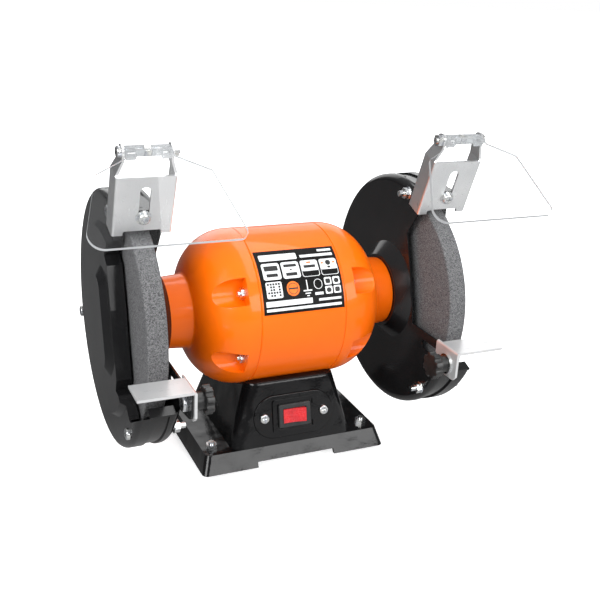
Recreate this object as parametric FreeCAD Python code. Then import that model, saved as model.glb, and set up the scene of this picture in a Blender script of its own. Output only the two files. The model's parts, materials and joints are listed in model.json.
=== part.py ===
import FreeCAD, Part
import math
import os

# Bench grinder with two 150 mm wheels. Millimetres, +Z up.
# X runs along the shaft (+X is the operator's right), -Y faces the operator,
# and the origin is on the bench, midway between the wheels and the feet.

Vec = FreeCAD.Vector

# ---- driving sizes -------------------------------------------------------
AXIS_Z = 105.4            # shaft height above the bench
RUN_GAP = 0.35            # air gap round parts that turn
SLIDE_GAP = 0.3           # gap beside parts that slide
BORE_FIT = 0.05           # radial play of a shaft or screw in its hole

# wheels and shaft
WHEEL_R = 75.0
WHEEL_T = 13.0
WHEEL_X = 99.3            # inner face of a wheel
BLOTTER_R = 22.0
BLOTTER_T = 0.6
FLANGE_R = 23.0
FLANGE_T = 2.5
FLANGE_RELIEF_R = 15.0
FLANGE_RELIEF = 0.8
SHAFT_END_R = 6.3
SHAFT_R = 7.5             # through the bearings
SHAFT_CORE_R = 9.0        # through the rotor core
ARBOR_NUT_FLATS = 19.0
ARBOR_NUT_H = 7.0
SHAFT_STICK_OUT = 1.4     # shaft end beyond the arbor nut

# bearings
BEARING_R = 17.5
BEARING_W = 11.0
RACE_T = 2.3
BALL_R = 2.5
BALL_COUNT = 8
WAVE_T = 0.8

# motor body
SHELL_R = 54.1
SHELL_T = 3.5
SHELL_HALF = 30.5
SEAM = 0.6                # chamfer at each seam between shell and bell
BELL_T = 3.2
BELL_STRAIGHT = 3.5       # straight lip of a bell before its dome
COLLAR_X0 = 67.0
COLLAR_X1 = 83.7
COLLAR_R0 = 25.6
COLLAR_R1 = 24.5
COLLAR_WALL = 3.7         # end wall of the collar
COLLAR_BORE_R = 9.5
HOUSING_R = 21.5          # bearing housing inside the bell
HOUSING_X = 58.0
DOME_END_R = 28.0
SCOOP_R = 9.2
SCOOP_PITCH_R = 51.6      # the trough breaks out through the dome
SCOOP_FLOOR_X = 38.5
SCOOP_WALL = 2.4
TIE_R = 2.0
TIE_PITCH_R = 46.6
TIE_ANGLES = (31.0, 149.0, 206.0, 334.0)
TIE_HEAD_R = 3.7
TIE_HEAD_H = 2.8

# stator and rotor
STATOR_HALF = 22.0
ROTOR_R = 29.0
SLOT_COUNT = 24
SLOT_W = 3.6
SLOT_MOUTH = 1.6
SLOT_IN_R = 31.0
SLOT_OUT_R = 39.5
END_TURN_IN_R = 30.8
END_TURN_OUT_R = 40.8
END_TURN = 10.5
END_RING_T = 4.0
END_RING_IN_R = 15.0
ROTOR_FINS = 8
FIN_H = 5.0

# wheel guards
GUARD_R = 86.0
SHEET_T = 1.2
GUARD_IN_X = 92.0         # motor side of the inner guard
GUARD_OUT_X = 120.6       # outer face of the cover's flat ring
INNER_RIM = 7.5
INNER_RIM_BEND = 5.5
COVER_RIM = 11.5
COVER_RIM_BEND = 4.0
BOSS_FOOT_R = 36.5
BOSS_TOP_R = 27.0
GUARD_HOLE_R = 10.5
PLATEAU_R = 65.0
PLATEAU_H = 3.4
PLATEAU_SLOPE = 3.0
CROWN_R = 21.0            # inscribed radius of the rounded triangle
CROWN_CORNER_R = 9.0
CROWN_H = 3.6
CROWN_SLOPE = 7.0
COVER_RETURN = 6.5        # front lip of the cover, towards the wheel
GUARD_SCREW_R = 2.0
GUARD_SCREW_PITCH_R = 80.5
GUARD_SCREW_ANGLES = (77.0, -43.0, -163.0)
GUARD_MOUNT_R = 1.9
GUARD_MOUNT_PITCH_R = 21.0
BAND_END_ANGLE = -21.0
BAND_SIDE_GAP = 0.2       # from the start of each guard's rounded rim
BAND_LIP = 5.0            # lip beyond the guard's rim

# shield bracket
BRACKET_X0 = 87.7
BRACKET_X1 = 124.8
BRACKET_T = 1.5
BRACKET_Y = -39.6         # bottom front edge
BRACKET_Z = 174.0
BRACKET_LEAN = 20.06
BRACKET_H = 41.1
BRACKET_DEPTH = 13.5
BRACKET_SLOT_W = 6.6
BRACKET_SLOT_LOW = 9.2
BRACKET_SLOT_TOP = 34.0
BRACKET_NOTCH = 3.0
BRACKET_LEG = 6.8
TAB_LOW = 4.0
TAB_GAP = 0.2
CLAMP_SCREW_R = 2.0
CLAMP_HEAD_R = 3.7
HINGE_UP = 55.6
HINGE_BACK = 5.7
EAR_R = 4.6
EAR_OUT_X = 15.3          # outer face of a bent-in ear
HINGE_R = 2.0

# eye shield
SHIELD_TILT = 45.0
SHIELD_T = 2.4
SHIELD_OFFSET = 4.7       # hinge axis to the back face
SHIELD_TOP = 3.0
SHIELD_NECK_HALF = 13.3
SHIELD_NECK = 8.0
SHIELD_SHOULDER_HALF = 33.5
SHIELD_SHOULDER = 18.5
SHIELD_FOOT_HALF = 47.0
SHIELD_LEN = 64.0
SHIELD_BIG_R = 9.0
SHIELD_SMALL_R = 5.0
KNUCKLE_R = 3.5
KNUCKLE_IN = 2.3
KNUCKLE_OUT = 13.3
KNUCKLE_TAB = 5.6         # width of the tab that carries a knuckle

# tool rest
REST_X0 = 90.0
REST_X1 = 126.0
REST_T = 1.7
REST_TOP_Z = 95.5
REST_BACK_Y = -81.2
REST_FRONT_Y = -102.1
REST_FLANGE_BACK_Y = -76.3
REST_FLANGE_LOW_Z = 75.0
REST_BOLT_R = 3.0
REST_BOLT_Y = -90.0
REST_BOLT_Z = 83.4
REST_HEAD_R = 5.5
REST_HEAD_H = 3.0
REST_SLOT_BACK_Y = -55.0
REST_SLOT_FRONT_Y = -96.6
REST_SLOT_PLAY = 0.4
LUG_FRONT_Y = -100.4
KNOB_R = 9.2
KNOB_T = 5.2
KNOB_CROWN = 1.5          # solid face of the knob beyond its thread
KNOB_HUB_R = 5.5
KNOB_HUB = 6.0
KNOB_FLUTES = 8
KNOB_FLUTE_R = 2.2
WASHER_R = 7.0
WASHER_T = 1.2

# base
SKIRT_Z = 4.6
LEDGE_Z = 16.8
SKIRT_HALF_X = 69.0
SKIRT_HALF_Y = 53.7
LEDGE_HALF_X = 65.3
LEDGE_HALF_Y = 47.7
BASE_WALL = 2.5
BASE_CORNER_R = 4.0
TOWER_HALF_X = 46.0
TOWER_TOP_Z = 62.0
TOWER_TOP_HALF_X = 33.0
TOWER_TOP_HALF_Y = 37.55
TOWER_CORNER_R = 9.0
TOWER_EDGE_R = 3.5
RELIEF_HALF_X = 29.0
RELIEF_H = 3.5
FLOOR_T = 1.5
FOOT_X = 57.9
FOOT_Y = 36.4
FOOT_R = 7.0
FOOT_STEM_R = 4.8         # foot inside the base, up to the ledge
FOOT_WELL_R = 4.2
FOOT_WELL = 4.5
FOOT_SCREW_R = 2.0
FLOOR_POST_R = 3.6
FLOOR_SCREW_X = 38.5
FLOOR_SCREW_R = 1.5
FLOOR_SCREW_LEN = 9.0

# switch on the front wall
PLATE_HALF_X = 30.0
PLATE_HALF_H = 15.2
PLATE_T = 2.2
PLATE_RECESS = 1.2
PLATE_UP = 20.2           # centre, up the wall from the ledge
PLATE_SCREW_X = 22.5
BEZEL_X = 24.0
BEZEL_H = 16.6
BEZEL_T = 2.0
SWITCH_DEPTH = 15.0
ROCKER_X = 16.4
ROCKER_H = 9.8
ROCKER_TILT = 8.0
RIB_X = 32.4
RIB_H = 23.6
RIB_W = 2.2
RIB_T = 1.1

# inside the base
CAP_R = 13.0
CAP_LEN = 50.0
CAP_Y = 14.0
TERMINAL_X = 8.0
GLAND_X = -26.0
GLAND_UP = 13.0
GLAND_R = 6.0

# rating label
LABEL_HALF_X = 29.0
LABEL_LOW = 12.8
LABEL_HIGH = 60.0
LABEL_T = 0.25

# ---- sizes worked out from the driving sizes -----------------------------
FLOOR_Z = SKIRT_Z + RELIEF_H
FLOOR_TOP_Z = FLOOR_Z + FLOOR_T
BRACKET_MID = (BRACKET_X0 + BRACKET_X1) / 2
WHEEL_OUT_X = WHEEL_X + WHEEL_T
FLANGE_SEAT_X = WHEEL_X - BLOTTER_T - FLANGE_T
NUT_SEAT_X = WHEEL_OUT_X + BLOTTER_T + FLANGE_T
SHAFT_END_X = NUT_SEAT_X + ARBOR_NUT_H + SHAFT_STICK_OUT
BEARING_OUT_X = COLLAR_X1 - COLLAR_WALL
WALL_LEAN = math.degrees(math.atan2(LEDGE_HALF_Y - TOWER_TOP_HALF_Y, TOWER_TOP_Z - LEDGE_Z))
TOWER_WALL = BASE_WALL * (math.cos(math.radians(WALL_LEAN)) + math.sin(math.radians(WALL_LEAN)))


# ---- helpers -------------------------------------------------------------
def polar(radius, angle):
    """Point (y, z) at an angle up from the operator's side, about the shaft."""
    turn = math.radians(angle)
    return -radius * math.cos(turn), AXIS_Z + radius * math.sin(turn)


def cyl_x(radius, x0, x1, y=0.0, z=AXIS_Z):
    return Part.makeCylinder(radius, x1 - x0, Vec(x0, y, z), Vec(1, 0, 0))


def tube_x(outer, inner, x0, x1, y=0.0, z=AXIS_Z):
    return cyl_x(outer, x0, x1, y, z).cut(cyl_x(inner, x0 - 1, x1 + 1, y, z))


def cyl_z(radius, z0, z1, x, y):
    return Part.makeCylinder(radius, z1 - z0, Vec(x, y, z0))


def box(x0, x1, y0, y1, z0, z1):
    return Part.makeBox(x1 - x0, y1 - y0, z1 - z0, Vec(x0, y0, z0))


def hexagon_x(flats, x0, x1, y=0.0, z=AXIS_Z):
    corner = flats / math.sqrt(3)
    points = []
    for k in range(7):
        turn = math.radians(60 * k)
        points.append(Vec(x0, y + corner * math.cos(turn), z + corner * math.sin(turn)))
    return Part.Face(Part.makePolygon(points)).extrude(Vec(x1 - x0, 0, 0))


def prism_x(points, x0, x1):
    """Solid whose outline is a list of (y, z) points."""
    corners = [Vec(x0, y, z) for y, z in points]
    return Part.Face(Part.makePolygon(corners + corners[:1])).extrude(Vec(x1 - x0, 0, 0))


def turned(path):
    """Solid turned about the shaft. A path item is (x, r), or (x, r, xm, rm)
    where the stretch to (x, r) is an arc through (xm, rm)."""
    edges = []
    here = Vec(path[0][0], 0, AXIS_Z + path[0][1])
    first = here
    for item in path[1:] + [path[0][:2]]:
        there = Vec(item[0], 0, AXIS_Z + item[1])
        if len(item) == 4:
            mid = Vec(item[2], 0, AXIS_Z + item[3])
            edges.append(Part.Arc(here, mid, there).toShape())
        elif (there - here).Length > 1e-6:
            edges.append(Part.makeLine(here, there))
        here = there
    face = Part.Face(Part.Wire(edges))
    return face.revolve(Vec(0, 0, AXIS_Z), Vec(1, 0, 0), 360)


def mirrored(shape):
    return shape.mirror(Vec(0, 0, 0), Vec(1, 0, 0))


def both_sides(shape):
    return [shape, mirrored(shape)]


def fused(shapes):
    return shapes[0].multiFuse(shapes[1:]).removeSplitter()


def group(shapes):
    return Part.makeCompound(shapes)


def bend(x, r, size, side):
    """Mid-point of the arc that rounds a dish from flat ring to rim."""
    part = size * (1 - math.sqrt(0.5))
    return x + side * part, r - part


def rounded_rect(half_x, half_y, corner, z):
    edges = []
    centres = [(half_x - corner, half_y - corner, 0), (corner - half_x, half_y - corner, 90),
               (corner - half_x, corner - half_y, 180), (half_x - corner, corner - half_y, 270)]
    arcs = []
    for cx, cy, start in centres:
        arcs.append(Part.Arc(Part.Circle(Vec(cx, cy, z), Vec(0, 0, 1), corner),
                             math.radians(start), math.radians(start + 90)).toShape())
    for k in range(4):
        edges.append(arcs[k])
        edges.append(Part.makeLine(arcs[k].valueAt(arcs[k].LastParameter),
                                   arcs[(k + 1) % 4].valueAt(arcs[(k + 1) % 4].FirstParameter)))
    return Part.Wire(edges)


def stadium(half_x, half_y, depth):
    """Plate with round ends in local XY, from z = 0 to z = depth."""
    straight = half_x - half_y
    plate = Part.makeBox(2 * straight, 2 * half_y, depth, Vec(-straight, -half_y, 0))
    ends = [Part.makeCylinder(half_y, depth, Vec(side * straight, 0, 0)) for side in (-1, 1)]
    return fused([plate] + ends)


def local_box(x0, x1, y0, y1, z0, z1):
    return Part.makeBox(x1 - x0, y1 - y0, z1 - z0, Vec(x0, y0, z0))


def frame_at(origin, up, normal):
    """Placement whose local X is the shaft direction, Y is up, Z is normal."""
    return FreeCAD.Placement(origin, FreeCAD.Rotation(Vec(1, 0, 0), up, normal, "XYZ"))


def placed(shape, placement):
    moved = shape.copy()
    moved.Placement = placement.multiply(moved.Placement)
    return moved


def pan_head_screw(point, direction, radius, length, head_r, head_h):
    """Screw whose head sits on point and whose shank runs along direction."""
    axis = Vec(direction)
    head = Part.makeCylinder(head_r, head_h, point, axis * -1)
    rim = [edge for edge in head.Edges if edge.Length > 1.9 * math.pi * head_r]
    top = [edge for edge in rim if (edge.CenterOfMass - point).Length > head_h / 2]
    head = head.makeFillet(head_h * 0.45, top)
    shank = Part.makeCylinder(radius, length, point, axis)
    side = Vec(0, 0, 1) if abs(axis.z) < 0.7 else Vec(1, 0, 0)
    across = axis.cross(side)
    cross = []
    for wide, narrow in ((side, across), (across, side)):
        arm = head_r * 1.1
        corner = point - axis * (head_h + 0.1) - wide * (arm / 2) - narrow * 0.35
        face = Part.makePolygon([corner, corner + wide * arm, corner + wide * arm + narrow * 0.7,
                                 corner + narrow * 0.7, corner])
        cross.append(Part.Face(face).extrude(axis * (head_h * 0.55)))
    return head.fuse(shank).cut(cross[0].fuse(cross[1])).removeSplitter()


# ---- base ----------------------------------------------------------------
def base_blank(inset, top_drop):
    """Skirt with its end ledges, and the tower; inset makes the hollow inside."""
    skirt = Part.makeLoft([rounded_rect(SKIRT_HALF_X - inset, SKIRT_HALF_Y - inset, BASE_CORNER_R, SKIRT_Z),
                           rounded_rect(LEDGE_HALF_X - inset, LEDGE_HALF_Y - inset, BASE_CORNER_R,
                                        LEDGE_Z - top_drop)], True, True)
    tower = Part.makeLoft([rounded_rect(TOWER_HALF_X - inset, LEDGE_HALF_Y - inset, TOWER_CORNER_R - inset,
                                        LEDGE_Z - top_drop),
                           rounded_rect(TOWER_TOP_HALF_X - inset, TOWER_TOP_HALF_Y - inset,
                                        TOWER_CORNER_R - inset, TOWER_TOP_Z - top_drop)], True, True)
    return skirt, tower


def wall_frame(side):
    """Placement on the leaning wall, at ledge level: side -1 front, 1 back."""
    lean = math.radians(WALL_LEAN)
    up = Vec(0, -side * math.sin(lean), math.cos(lean))
    normal = Vec(0, side * math.cos(lean), math.sin(lean))
    if side > 0:
        return FreeCAD.Placement(Vec(0, LEDGE_HALF_Y, LEDGE_Z), FreeCAD.Rotation(Vec(-1, 0, 0), up, normal, "XYZ"))
    return frame_at(Vec(0, -LEDGE_HALF_Y, LEDGE_Z), up, normal)


def on_front(shape):
    return placed(placed(shape, FreeCAD.Placement(Vec(0, PLATE_UP, 0), FreeCAD.Rotation())), wall_frame(-1))


def base_housing():
    skirt, tower = base_blank(0.0, 0.0)
    top = [edge for edge in tower.Edges if abs(edge.CenterOfMass.z - TOWER_TOP_Z) < 0.01]
    tower = tower.makeFillet(TOWER_EDGE_R, top)
    skirt_in, tower_in = base_blank(BASE_WALL, BASE_WALL)
    motor = cyl_x(SHELL_R, -COLLAR_X1, COLLAR_X1)
    saddle = cyl_x(SHELL_R + BASE_WALL, -COLLAR_X1, COLLAR_X1)
    housing = fused([skirt, tower]).cut(motor)
    housing = housing.cut(skirt_in.fuse(tower_in).cut(saddle))
    for side in (-1, 1):
        y0, y1 = sorted((side * (LEDGE_HALF_Y - 2), side * (SKIRT_HALF_Y + 2)))
        housing = housing.cut(box(-RELIEF_HALF_X, RELIEF_HALF_X, y0, y1, SKIRT_Z - 1, SKIRT_Z + RELIEF_H))
    for x, y in foot_places():
        housing = housing.cut(cyl_z(FOOT_SCREW_R + BORE_FIT, LEDGE_Z - BASE_WALL - 1, LEDGE_Z + 1, x, y))
    housing = housing.cut(on_front(stadium(PLATE_HALF_X + 0.2, PLATE_HALF_H + 0.2, 5)
                                   .translated(Vec(0, 0, -PLATE_RECESS))))
    window = local_box(-10.4, 10.4, -6.9, 6.9, -8, 3)
    housing = housing.cut(on_front(window))
    for x in (-PLATE_SCREW_X, PLATE_SCREW_X):
        housing = housing.cut(on_front(Part.makeCylinder(1.6, 8, Vec(x, 0, -6))))
    for x in motor_screw_x():
        housing = housing.cut(cyl_z(2.05, 44, 53, x, 0))
    gland = Part.makeCylinder(GLAND_R + BORE_FIT, 12, Vec(-GLAND_X, GLAND_UP, -8))
    return housing.cut(placed(gland, wall_frame(1)))


def foot_places():
    return [(sx * FOOT_X, sy * FOOT_Y) for sx in (-1, 1) for sy in (-1, 1)]


def motor_screw_x():
    return (-20.0, 20.0)


def base_bottom_plate():
    inset = BASE_WALL + 0.3
    part_way = (FLOOR_T + RELIEF_H) / (LEDGE_Z - BASE_WALL - SKIRT_Z)
    half_x = SKIRT_HALF_X - inset - part_way * (SKIRT_HALF_X - LEDGE_HALF_X)
    half_y = SKIRT_HALF_Y - inset - part_way * (SKIRT_HALF_Y - LEDGE_HALF_Y)
    plate = Part.Face(rounded_rect(half_x, half_y, BASE_CORNER_R, FLOOR_Z)).extrude(Vec(0, 0, FLOOR_T))
    for x, y in foot_places():
        plate = plate.cut(cyl_z(FOOT_STEM_R + SLIDE_GAP, 0, 20, x, y))
    for x, y in floor_screw_places():
        plate = plate.cut(cyl_z(FLOOR_SCREW_R + BORE_FIT, 0, 20, x, y))
    return plate


def floor_screw_places():
    return [(sx * FLOOR_SCREW_X, sy * FOOT_Y) for sx in (-1, 1) for sy in (-1, 1)]


def floor_posts():
    """Moulded posts under the tower that take the floor screws."""
    posts = []
    for x, y in floor_screw_places():
        post = cyl_z(FLOOR_POST_R, FLOOR_TOP_Z, LEDGE_Z + 10, x, y)
        posts.append(post.cut(cyl_z(FLOOR_SCREW_R, FLOOR_Z, FLOOR_Z + FLOOR_SCREW_LEN + 1, x, y)))
    return posts


def rubber_feet():
    feet = []
    for x, y in foot_places():
        foot = fused([cyl_z(FOOT_R, 0, FLOOR_Z, x, y), cyl_z(FOOT_STEM_R, 0, LEDGE_Z - BASE_WALL, x, y)])
        foot = foot.cut(cyl_z(FOOT_SCREW_R, -1, LEDGE_Z, x, y))
        foot = foot.cut(cyl_z(FOOT_WELL_R, -1, FOOT_WELL, x, y))
        feet.append(foot)
    return group(feet)


def foot_screws():
    return group([pan_head_screw(Vec(x, y, FOOT_WELL), Vec(0, 0, 1), FOOT_SCREW_R, LEDGE_Z, 3.8, 2.4)
                  for x, y in foot_places()])


def foot_nuts():
    nuts = []
    for x, y in foot_places():
        points = []
        for k in range(7):
            turn = math.radians(60 * k + 15)
            points.append(Vec(x + 4.0 * math.cos(turn), y + 4.0 * math.sin(turn), LEDGE_Z))
        nut = Part.Face(Part.makePolygon(points)).extrude(Vec(0, 0, 2.8))
        nuts.append(nut.cut(cyl_z(FOOT_SCREW_R, LEDGE_Z - 1, LEDGE_Z + 9, x, y)))
    return group(nuts)


def floor_screws():
    return group([pan_head_screw(Vec(x, y, FLOOR_Z), Vec(0, 0, 1), FLOOR_SCREW_R, FLOOR_SCREW_LEN, 2.9, 2.0)
                  for x, y in floor_screw_places()])


def cable_gland():
    body = Part.makeCylinder(GLAND_R, 8, Vec(0, 0, -6))
    collar = Part.makeCylinder(GLAND_R + 2.2, 2.5)
    tail = Part.makeCone(GLAND_R - 0.4, GLAND_R - 1.6, 14, Vec(0, 0, 2.5))
    nut = Part.makeCylinder(GLAND_R + 2.6, 3, Vec(0, 0, -TOWER_WALL - 3.0))
    gland = fused([body, collar, tail, nut])
    for k in range(4):
        ring = Part.makeCylinder(GLAND_R, 1.2, Vec(0, 0, 4.6 + 2.8 * k))
        core = Part.makeCylinder(GLAND_R - 2.2, 1.2, Vec(0, 0, 4.6 + 2.8 * k))
        gland = gland.cut(ring.cut(core))
    gland = gland.cut(Part.makeCylinder(3.0, 40, Vec(0, 0, -20)))
    gland = placed(gland, FreeCAD.Placement(Vec(-GLAND_X, GLAND_UP, 0), FreeCAD.Rotation()))
    return placed(gland, wall_frame(1))


def capacitor():
    z = FLOOR_TOP_Z + SHEET_T + CAP_R
    body = cyl_x(CAP_R, -CAP_LEN / 2, CAP_LEN / 2, CAP_Y, z)
    posts = [cyl_x(1.6, CAP_LEN / 2, CAP_LEN / 2 + 5, CAP_Y + dy, z) for dy in (-5, 5)]
    return fused([body] + posts)


def capacitor_clamp():
    floor = FLOOR_TOP_Z
    z = floor + SHEET_T + CAP_R
    strap = tube_x(CAP_R + SHEET_T, CAP_R, -6, 6, CAP_Y, z)
    feet = box(-6, 6, CAP_Y - CAP_R - 9, CAP_Y + CAP_R + 9, floor, floor + SHEET_T)
    return fused([strap, feet])


def terminal_block():
    floor = FLOOR_TOP_Z
    block = box(TERMINAL_X, TERMINAL_X + 24, 31.5, 42.5, floor, floor + 11)
    for k in range(3):
        x = TERMINAL_X + 4 + 8 * k
        block = block.cut(cyl_z(2.2, floor + 5, floor + 12, x, 37))
        block = block.cut(Part.makeCylinder(1.6, 20, Vec(x, 26, floor + 3.5), Vec(0, 1, 0)))
    return block


# ---- switch --------------------------------------------------------------
def switch_plate():
    plate = stadium(PLATE_HALF_X, PLATE_HALF_H, PLATE_T).translated(Vec(0, 0, -PLATE_RECESS))
    top = [edge for edge in plate.Edges if abs(edge.CenterOfMass.z - (PLATE_T - PLATE_RECESS)) < 0.01]
    plate = plate.makeFillet(0.7, top)
    face_z = PLATE_T - PLATE_RECESS
    rib = local_box(-RIB_X / 2, RIB_X / 2, -RIB_H / 2, RIB_H / 2, face_z - 0.1, face_z + RIB_T)
    rib = rib.makeFillet(2.0, [edge for edge in rib.Edges if abs(edge.CenterOfMass.z - face_z - 0.5) < 0.01])
    rib = rib.cut(local_box(RIB_W - RIB_X / 2, RIB_X / 2 - RIB_W, RIB_W - RIB_H / 2, RIB_H / 2 - RIB_W, -3, 6))
    rib = rib.cut(local_box(RIB_X / 2 - RIB_W - 0.1, RIB_X, -RIB_H / 4, RIB_H / 4, -3, 6))
    plate = plate.fuse(rib)
    plate = plate.cut(local_box(-10.4, 10.4, -6.9, 6.9, -3, 6))
    for x in (-PLATE_SCREW_X, PLATE_SCREW_X):
        plate = plate.cut(Part.makeCylinder(1.6, 9, Vec(x, 0, -5)))
    return on_front(plate.removeSplitter())


def switch_plate_screws():
    screws = []
    for x in (-PLATE_SCREW_X, PLATE_SCREW_X):
        screw = pan_head_screw(Vec(x, 0, PLATE_T - PLATE_RECESS), Vec(0, 0, -1), 1.55, 9.0, 3.3, 2.0)
        screws.append(on_front(screw))
    return group(screws)


def rocker_axis_z():
    return PLATE_T - PLATE_RECESS - 1.5


def switch_housing():
    face_z = PLATE_T - PLATE_RECESS
    bezel = local_box(-BEZEL_X / 2, BEZEL_X / 2, -BEZEL_H / 2, BEZEL_H / 2, face_z, face_z + BEZEL_T)
    upright = [edge for edge in bezel.Edges if abs(edge.CenterOfMass.z - face_z - BEZEL_T / 2) < 0.01]
    bezel = bezel.makeFillet(1.2, upright)
    top = [edge for edge in bezel.Edges if abs(edge.CenterOfMass.z - face_z - BEZEL_T) < 0.01]
    bezel = bezel.makeFillet(0.6, top)
    body = local_box(-10.2, 10.2, -6.7, 6.7, face_z - SWITCH_DEPTH, face_z + 0.5)
    housing = bezel.fuse(body)
    half_x = ROCKER_X / 2 + 0.5
    half_h = ROCKER_H / 2 + SLIDE_GAP
    housing = housing.cut(local_box(-half_x, half_x, -half_h, half_h, face_z - 10, face_z + 5))
    for side in (-1, 1):
        pin = Part.makeCylinder(1.2, 1.0, Vec(0, side * (half_h - 0.6), rocker_axis_z()), Vec(0, side, 0))
        housing = housing.fuse(pin)
    return on_front(housing.removeSplitter())


def switch_rocker():
    """Rocker with a shallow V face, resting with its left half pressed."""
    half = ROCKER_X / 2
    crest = ROCKER_TILT
    rise = half * math.tan(math.radians(crest))
    axis_z = rocker_axis_z()
    top = PLATE_T - PLATE_RECESS + BEZEL_T + 0.6 - axis_z
    outline = [(-half, top + rise), (0, top), (half, top + rise), (half - 0.6, -0.5), (3.2, -5.0), (-3.2, -5.0),
               (0.6 - half, -0.5)]
    points = [Vec(x, -ROCKER_H / 2, z) for x, z in outline]
    rocker = Part.Face(Part.makePolygon(points + points[:1])).extrude(Vec(0, ROCKER_H, 0))
    for side in (-1, 1):
        y = side * (ROCKER_H / 2 - 0.7)
        rocker = rocker.cut(Part.makeCylinder(1.3, 2.0, Vec(0, y, 0), Vec(0, side, 0)))
    rocker.rotate(Vec(0, 0, 0), Vec(0, 1, 0), -ROCKER_TILT)
    return on_front(rocker.translated(Vec(0, 0, axis_z)))


def switch_terminals():
    face_z = PLATE_T - PLATE_RECESS
    tabs = []
    for x in (-6.0, 0.0, 6.0):
        tabs.append(on_front(local_box(x - 0.4, x + 0.4, -2.4, 2.4, face_z - 23, face_z - SWITCH_DEPTH)))
    return group(tabs)


# ---- motor body ----------------------------------------------------------
def motor_shell():
    outer = turned([(-SHELL_HALF, SHELL_R - SHELL_T), (-SHELL_HALF, SHELL_R - SEAM), (SEAM - SHELL_HALF, SHELL_R),
                    (SHELL_HALF - SEAM, SHELL_R), (SHELL_HALF, SHELL_R - SEAM), (SHELL_HALF, SHELL_R - SHELL_T)])
    for x in motor_screw_x():
        outer = outer.cut(cyl_z(2.0, 40, 60, x, 0))
    return outer


def motor_screws():
    z = AXIS_Z - SHELL_R - BASE_WALL
    return group([pan_head_screw(Vec(x, 0, z - 0.2), Vec(0, 0, 1), 1.95, BASE_WALL + SHELL_T, 3.8, 2.6)
                  for x in motor_screw_x()])


def dome_path(inset, x_from):
    """Quarter-round outline of a bell, from the seam down to the collar."""
    x0 = SHELL_HALF + BELL_STRAIGHT
    drop = SHELL_R - DOME_END_R
    run = COLLAR_X0 - x0
    radius = (run * run + drop * drop) / (2 * drop)
    centre_r = SHELL_R - radius
    r = radius - inset
    end_r = DOME_END_R if inset == 0 else HOUSING_R + 1.0
    end_x = x0 + math.sqrt(r * r - (end_r - centre_r) ** 2)
    turn = (math.pi / 2 + math.atan2(end_r - centre_r, end_x - x0)) / 2
    mid = (x0 + r * math.cos(turn), centre_r + r * math.sin(turn))
    return [(x_from, SHELL_R - inset), (x0, SHELL_R - inset), (end_x, end_r, mid[0], mid[1])]


def end_bell():
    outside = dome_path(0.0, SHELL_HALF + SEAM)
    blank = turned([(SHELL_HALF, 5.0), (SHELL_HALF, SHELL_R - SEAM)] + outside +
                   [(COLLAR_X0 + 1.2, COLLAR_R0, COLLAR_X0 + 0.3, COLLAR_R0 + 0.9),
                    (COLLAR_X1 - 1.0, COLLAR_R1), (COLLAR_X1, COLLAR_R1 - 1.0, COLLAR_X1 - 0.3, COLLAR_R1 - 0.3),
                    (COLLAR_X1, 5.0)])
    inside = dome_path(BELL_T, SHELL_HALF - 1)
    hollow = turned([(SHELL_HALF - 1, 5.0)] + inside + [(HOUSING_X, HOUSING_R), (HOUSING_X, 5.0)])
    bell = blank.cut(hollow)
    bosses = []
    scoops = []
    for angle in TIE_ANGLES:
        y, z = polar(SCOOP_PITCH_R, angle)
        bosses.append(cyl_x(SCOOP_R + SCOOP_WALL, SCOOP_FLOOR_X - SCOOP_WALL, COLLAR_X1, y, z))
        scoops.append(cyl_x(SCOOP_R, SCOOP_FLOOR_X, COLLAR_X1, y, z))
        y, z = polar(TIE_PITCH_R, angle)
        scoops.append(cyl_x(TIE_R + BORE_FIT, SHELL_HALF, COLLAR_X1, y, z))
    bosses = bosses[0].multiFuse(bosses[1:]).common(blank)
    bell = bell.fuse(bosses)
    bell = bell.cut(cyl_x(BEARING_R, HOUSING_X - 5, BEARING_OUT_X))
    bell = bell.cut(cyl_x(COLLAR_BORE_R, HOUSING_X, COLLAR_X1 + 5))
    bell = bell.cut(scoops[0].multiFuse(scoops[1:]))
    for angle in guard_mount_angles():
        y, z = polar(GUARD_MOUNT_PITCH_R, angle)
        bell = bell.cut(cyl_x(GUARD_MOUNT_R, COLLAR_X1 - 11, COLLAR_X1 + 2, y, z))
    return bell.removeSplitter()


def tie_bolts():
    bolts = []
    length = 2 * SCOOP_FLOOR_X + 5.0
    for angle in TIE_ANGLES:
        y, z = polar(TIE_PITCH_R, angle)
        bolts.append(pan_head_screw(Vec(SCOOP_FLOOR_X, y, z), Vec(-1, 0, 0), TIE_R, length, TIE_HEAD_R, TIE_HEAD_H))
    return group(bolts)


def tie_nuts():
    nuts = []
    for angle in TIE_ANGLES:
        y, z = polar(TIE_PITCH_R, angle)
        nut = hexagon_x(7.0, -SCOOP_FLOOR_X - 3.2, -SCOOP_FLOOR_X, y, z)
        nuts.append(nut.cut(cyl_x(TIE_R, -SCOOP_FLOOR_X - 6, -SCOOP_FLOOR_X + 2, y, z)))
    return group(nuts)


def slot_tool(width, r0, r1, half):
    tools = []
    for k in range(SLOT_COUNT):
        tool = Part.makeBox(2 * half, width, r1 - r0, Vec(-half, -width / 2, r0))
        tool.rotate(Vec(0, 0, 0), Vec(1, 0, 0), 360.0 / SLOT_COUNT * (k + 0.5))
        tool.translate(Vec(0, 0, AXIS_Z))
        tools.append(tool)
    return tools


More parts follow.
